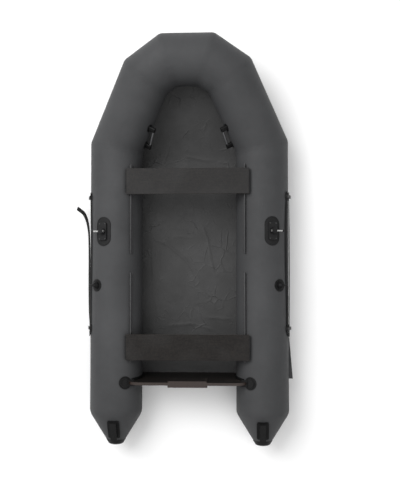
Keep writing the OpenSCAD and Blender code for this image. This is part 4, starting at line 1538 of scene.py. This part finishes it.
@dataclass
class Bench:
    """A sliding bench: film-faced board, end trims, sliders and screws."""

    name: str
    face: FilmPly
    corner: float = 10 * MM
    rounding: float = 1.6 * MM
    trim: float = 7 * MM
    trim_lip: float = 1.2 * MM

    def build(self) -> None:
        """Makes the bench on its own body."""
        self._board()
        self._trims()
        moulding(f"{self.name}_sliders", BLACK_PLASTIC, "black_plastic", 1.0, 2, body=self.name).build()
        steel(f"{self.name}_screws", STEEL, 0.4, body=self.name).build()

    def _board(self) -> None:
        """The board, with its plywood layers showing at the edges."""
        node = f"{self.name}_board"
        low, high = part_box(node)
        size = high - low
        board = slab(size, self.corner)
        rounded_edges(board, self.rounding)
        settle(board, Matrix.Translation(((low.x + high.x) / 2, (low.y + high.y) / 2, low.z)))
        show_layers(board, UP, self.face, BOARD_EDGE)
        finish_piece(board, f"{node}_ply", self.face, self.name, (node,))

    def _trims(self) -> None:
        """A dark channel pushed over each end of the board."""
        low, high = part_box(f"{self.name}_board")
        lip = self.trim_lip
        size = (self.trim, high.y - low.y - 2 * self.corner, high.z - low.z + 2 * lip)
        trim = slab(size)
        rounded_edges(trim, 1.1 * MM, 3)
        settle(trim, Matrix.Translation((high.x - self.trim / 2 + lip, (low.y + high.y) / 2, low.z - lip)))
        finish_pair(trim, f"{self.name}_*_trim", BLACK_RUBBER, self.name)


@dataclass
class Transom:
    """The plywood transom with its motor pads."""

    rake: float = 7.0
    rounding: float = 2.0 * MM

    def build(self) -> None:
        """Makes the board and the pads."""
        across = Vector((0, math.cos(math.radians(self.rake)), math.sin(math.radians(self.rake))))
        board = dressed_copy("transom_board", self.rounding, 3)
        show_layers(board, across, TRANSOM_PLY, TRANSOM_EDGE)
        finish_piece(board, "transom_ply", TRANSOM_PLY, stands_for=("transom_board",))
        for node, face in (("motor_pad_outer", PAD_PLY), ("motor_pad_inner", TRANSOM_PLY)):
            pad = dressed_copy(node, self.rounding, 3)
            show_layers(pad, across, face, TRANSOM_EDGE)
            finish_piece(pad, f"{node}_ply", face, stands_for=(node,))


# ---------------------------------------------------------------- fittings


@dataclass
class Rowlock:
    """What a rowlock has beyond its softened copies: a rim, screws and a fluted knob."""

    y: float = 0.054
    angle: float = 22.0
    base: tuple[float, float] = (0.110, 0.204)
    block: tuple[float, float, float] = (0.062, 0.124, 0.016)
    screw_inset: float = 9 * MM
    pin_height: float = 33 * MM
    knob_start: float = 62 * MM
    knob_length: float = 15 * MM
    knob_radius: float = 8.5 * MM
    flutes: int = 8
    flute_depth: float = 0.055
    rim_inset: float = 6 * MM
    rim_width: float = 3.2 * MM
    rim_height: float = 1.6 * MM
    pad_height: float = 3.9 * MM
    screw_radius: float = 4.2 * MM

    def build(self) -> None:
        """Makes them for both rowlocks."""
        place = HULL.along(self.y, self.angle)
        rim = settle(self._rim(), place)
        finish_pair(rim, "*_rowlock_base_rim", PAD_RUBBER)
        screws = settle(join([self._screw(x, y) for x in (-1, 1) for y in (-1, 1)]), place)
        finish_pair(screws, "*_rowlock_base_screws", DULL_STEEL)
        finish_pair(
            self._knob(), "*_rowlock_knob_moulding", BLACK_PLASTIC,
            "*_pin_knob", ("*_rowlock_knob",), 50.0,
        )

    def _rim(self) -> Object:
        """A bead round the edge of the pad, bent with it."""
        width, length = self.base
        size = (width - self.rim_inset, length - self.rim_inset, self.rim_height)
        rim = slab(size, width / 2 - self.rim_width, 12)
        with editing(rim):
            pick_faces(rim, lambda c, n: abs(n.z) > 0.9)
            bpy.ops.mesh.inset(thickness=self.rim_width, use_boundary=True)
            bpy.ops.mesh.delete(type="FACE")
        with editing(rim):
            bpy.ops.mesh.select_mode(type="EDGE")
            bpy.ops.mesh.select_non_manifold()
            bpy.ops.mesh.bridge_edge_loops()
        face_outwards(rim)
        rounded_edges(rim, 0.6 * MM, 2)
        settle(rim, Matrix.Translation((0, 0, self.pad_height)))
        return wrapped(rim, HULL.radius, 4 * MM)

    def _screw(self, x: int, y: int) -> Object:
        """A socket-head screw in a corner of the block."""
        radius = self.screw_radius
        screw = turned([(0, 0), (radius, 0), (radius, 1.4 * MM), (radius - 0.8 * MM, 2.0 * MM), (0, 2.0 * MM)], 24)
        with editing(screw):
            pick_faces(screw, lambda c, n: n.z > 0.99)
            bpy.ops.mesh.inset(thickness=1.5 * MM)
            extrude((0, 0, -1.2 * MM))
        width, length, height = self.block
        return settle(screw, Matrix.Translation(
            (x * (width / 2 - self.screw_inset), y * (length / 2 - self.screw_inset), height - 0.2 * MM)
        ))

    def _knob(self) -> Object:
        """A fluted knob with a domed end, lying along local x over the tube."""
        r, length = self.knob_radius, self.knob_length
        profile = [(0, 0), (r - 1.5 * MM, 0), (r - 0.4 * MM, 0.5 * MM), (r, 1.8 * MM), (r, length - 6 * MM),
                   (r - 1.0 * MM, length - 3 * MM), (r - 3.4 * MM, length - 0.9 * MM), (0, length)]
        knob = turned(profile, 48)
        for vertex in knob.data.vertices:
            x, y, z = vertex.co
            if math.hypot(x, y) > r - 1.2 * MM:
                waist = 1 - self.flute_depth * (1 + math.cos(self.flutes * math.atan2(y, x)))
                vertex.co = (x * waist, y * waist, z)
        turn = Matrix.Rotation(math.radians(90), 4, "Y")
        place = HULL.along(self.y, self.angle) @ Matrix.Translation((self.knob_start, 0, self.pin_height))
        return settle(knob, place @ turn)


@dataclass
class OarHolderBeads:
    """The bead round each pad that a stowed oar is pushed on to."""

    y: float = -0.323
    angle: float = 40.4
    pad: float = 43.5 * MM

    def build(self) -> None:
        """Makes both beads."""
        finish_pair(self._bead(), "*_oar_holder_bead", BLACK_RUBBER)

    def _bead(self) -> Object:
        """A raised ring near the pad's edge."""
        r = self.pad - 3 * MM
        deselect_all()
        bpy.ops.mesh.primitive_torus_add(
            major_radius=r, minor_radius=1.3 * MM, major_segments=72, minor_segments=10, location=(0, 0, 3.0 * MM)
        )
        bead = settle(bpy.context.object)
        for vertex in bead.data.vertices:
            x, y, z = vertex.co
            turn = x / HULL.radius
            reach = HULL.radius + z
            vertex.co = (reach * math.sin(turn), y, reach * math.cos(turn) - HULL.radius)
        return settle(bead, HULL.along(self.y, self.angle))


@dataclass
class ValveCovers:
    """The ribbed covers of the inflation valves."""

    y: float = -0.753
    angle: float = -72.0
    ribs: int = 30
    rib_depth: float = 0.012
    radius: float = 27 * MM

    def build(self) -> None:
        """Makes both covers."""
        finish_pair(
            self._cover(), "*_valve_cap_moulding", BLACK_PLASTIC,
            "*_valve_cover", ("*_valve_cap",), 45.0,
        )

    def _cover(self) -> Object:
        """A hollow cover with grip ribs round its rim."""
        profile = [(0, 12.5), (22.4, 12.5), (23.4, 11.5), (23.4, 5.3), (26.2, 5.3), (27.0, 6.1), (27.0, 11.5),
                   (26.2, 14.2), (23.5, 16.0), (15.0, 16.2), (13.5, 15.4), (0, 15.4)]
        cover = turned([(a * MM, b * MM) for a, b in profile], 120)
        for vertex in cover.data.vertices:
            x, y, z = vertex.co
            if math.hypot(x, y) > 0.95 * self.radius and z < 15 * MM:
                grip = 1 - self.rib_depth * (1 + math.cos(self.ribs * math.atan2(y, x)))
                vertex.co = (x * grip, y * grip, z)
        return settle(cover, HULL.along(self.y, self.angle))


@dataclass
class SideFlap:
    """A narrow hemmed flap of cloth that stands out along the starboard quarter."""

    hem: float = 5 * MM
    fore_width: float = 0.18

    def build(self) -> None:
        """Makes the flap and the hem on its edge."""
        low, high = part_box("starboard_side_flap")
        edge = HULL.stern.x + HULL.radius - 2 * MM
        width, length = high.x - edge, high.y - low.y
        deselect_all()
        bpy.ops.mesh.primitive_grid_add(x_subdivisions=8, y_subdivisions=60, size=1)
        flap = bpy.context.object
        layer = flap.data.uv_layers.active
        for vertex in flap.data.vertices:
            across, along = vertex.co.x + 0.5, vertex.co.y + 0.5
            y = low.y + along * length
            taper = self._taper(along)
            wave = 1.2 * MM * across * math.sin(along * 17.0) - 1.5 * MM * across * across
            vertex.co = (edge + across * width * taper, y, HULL.stern.z - 0.6 * MM + wave)
        for loop in flap.data.loops:
            point = flap.data.vertices[loop.vertex_index].co
            layer.data[loop.index].uv = (point.x, point.y)
        hem = self._hem(flap, lambda y: edge + width * self._taper((y - low.y) / length))
        apply_modifier(flap, "SOLIDIFY", thickness=1.2 * MM, offset=0.0)
        finish_piece(
            flap, "starboard_side_flap_cloth", TAPE_CLOTH,
            stands_for=("starboard_side_flap",), smooth=60, even=False,
        )

    def _taper(self, along: float) -> float:
        """The flap's width, as a share of its aft width, from aft (0) to fore (1)."""
        return 1.0 - (1.0 - self.fore_width) * along

    def _hem(self, flap: Object, outer: Callable[[float], float]) -> Object:
        """A doubled strip along the flap's outer edge."""
        with editing(flap):
            pick_faces(flap, lambda c, n: c.x > outer(c.y) - self.hem)
            bpy.ops.mesh.duplicate()
            bpy.ops.mesh.separate(type="SELECTED")
        hem = next(o for o in bpy.context.selected_objects if o != flap)
        apply_modifier(hem, "SOLIDIFY", thickness=3.0 * MM, offset=0.0)
        rounded_edges(hem, 0.7 * MM, 2)
        return finish_piece(hem, "starboard_side_flap_hem", TAPE_CLOTH, even=False)


def main() -> None:
    """Builds every part of the dinghy in order."""
    logging.basicConfig(level=logging.INFO, format="%(message)s")
    Studio().build()
    for strap in STRAPS:
        strap.build()
    HullSkin().build()
    FloorSheet().build()
    Bench("front_bench", FORE_BENCH_PLY).build()
    Bench("rear_bench", REAR_BENCH_PLY).build()
    for part in (Transom, Rowlock, OarHolderBeads, ValveCovers, SideFlap):
        part().build()
    for fitting in FITTINGS:
        fitting.build()
    carry_over("bow_bulkhead", TAPE_CLOTH)


if __name__ == "__main__":
    main()
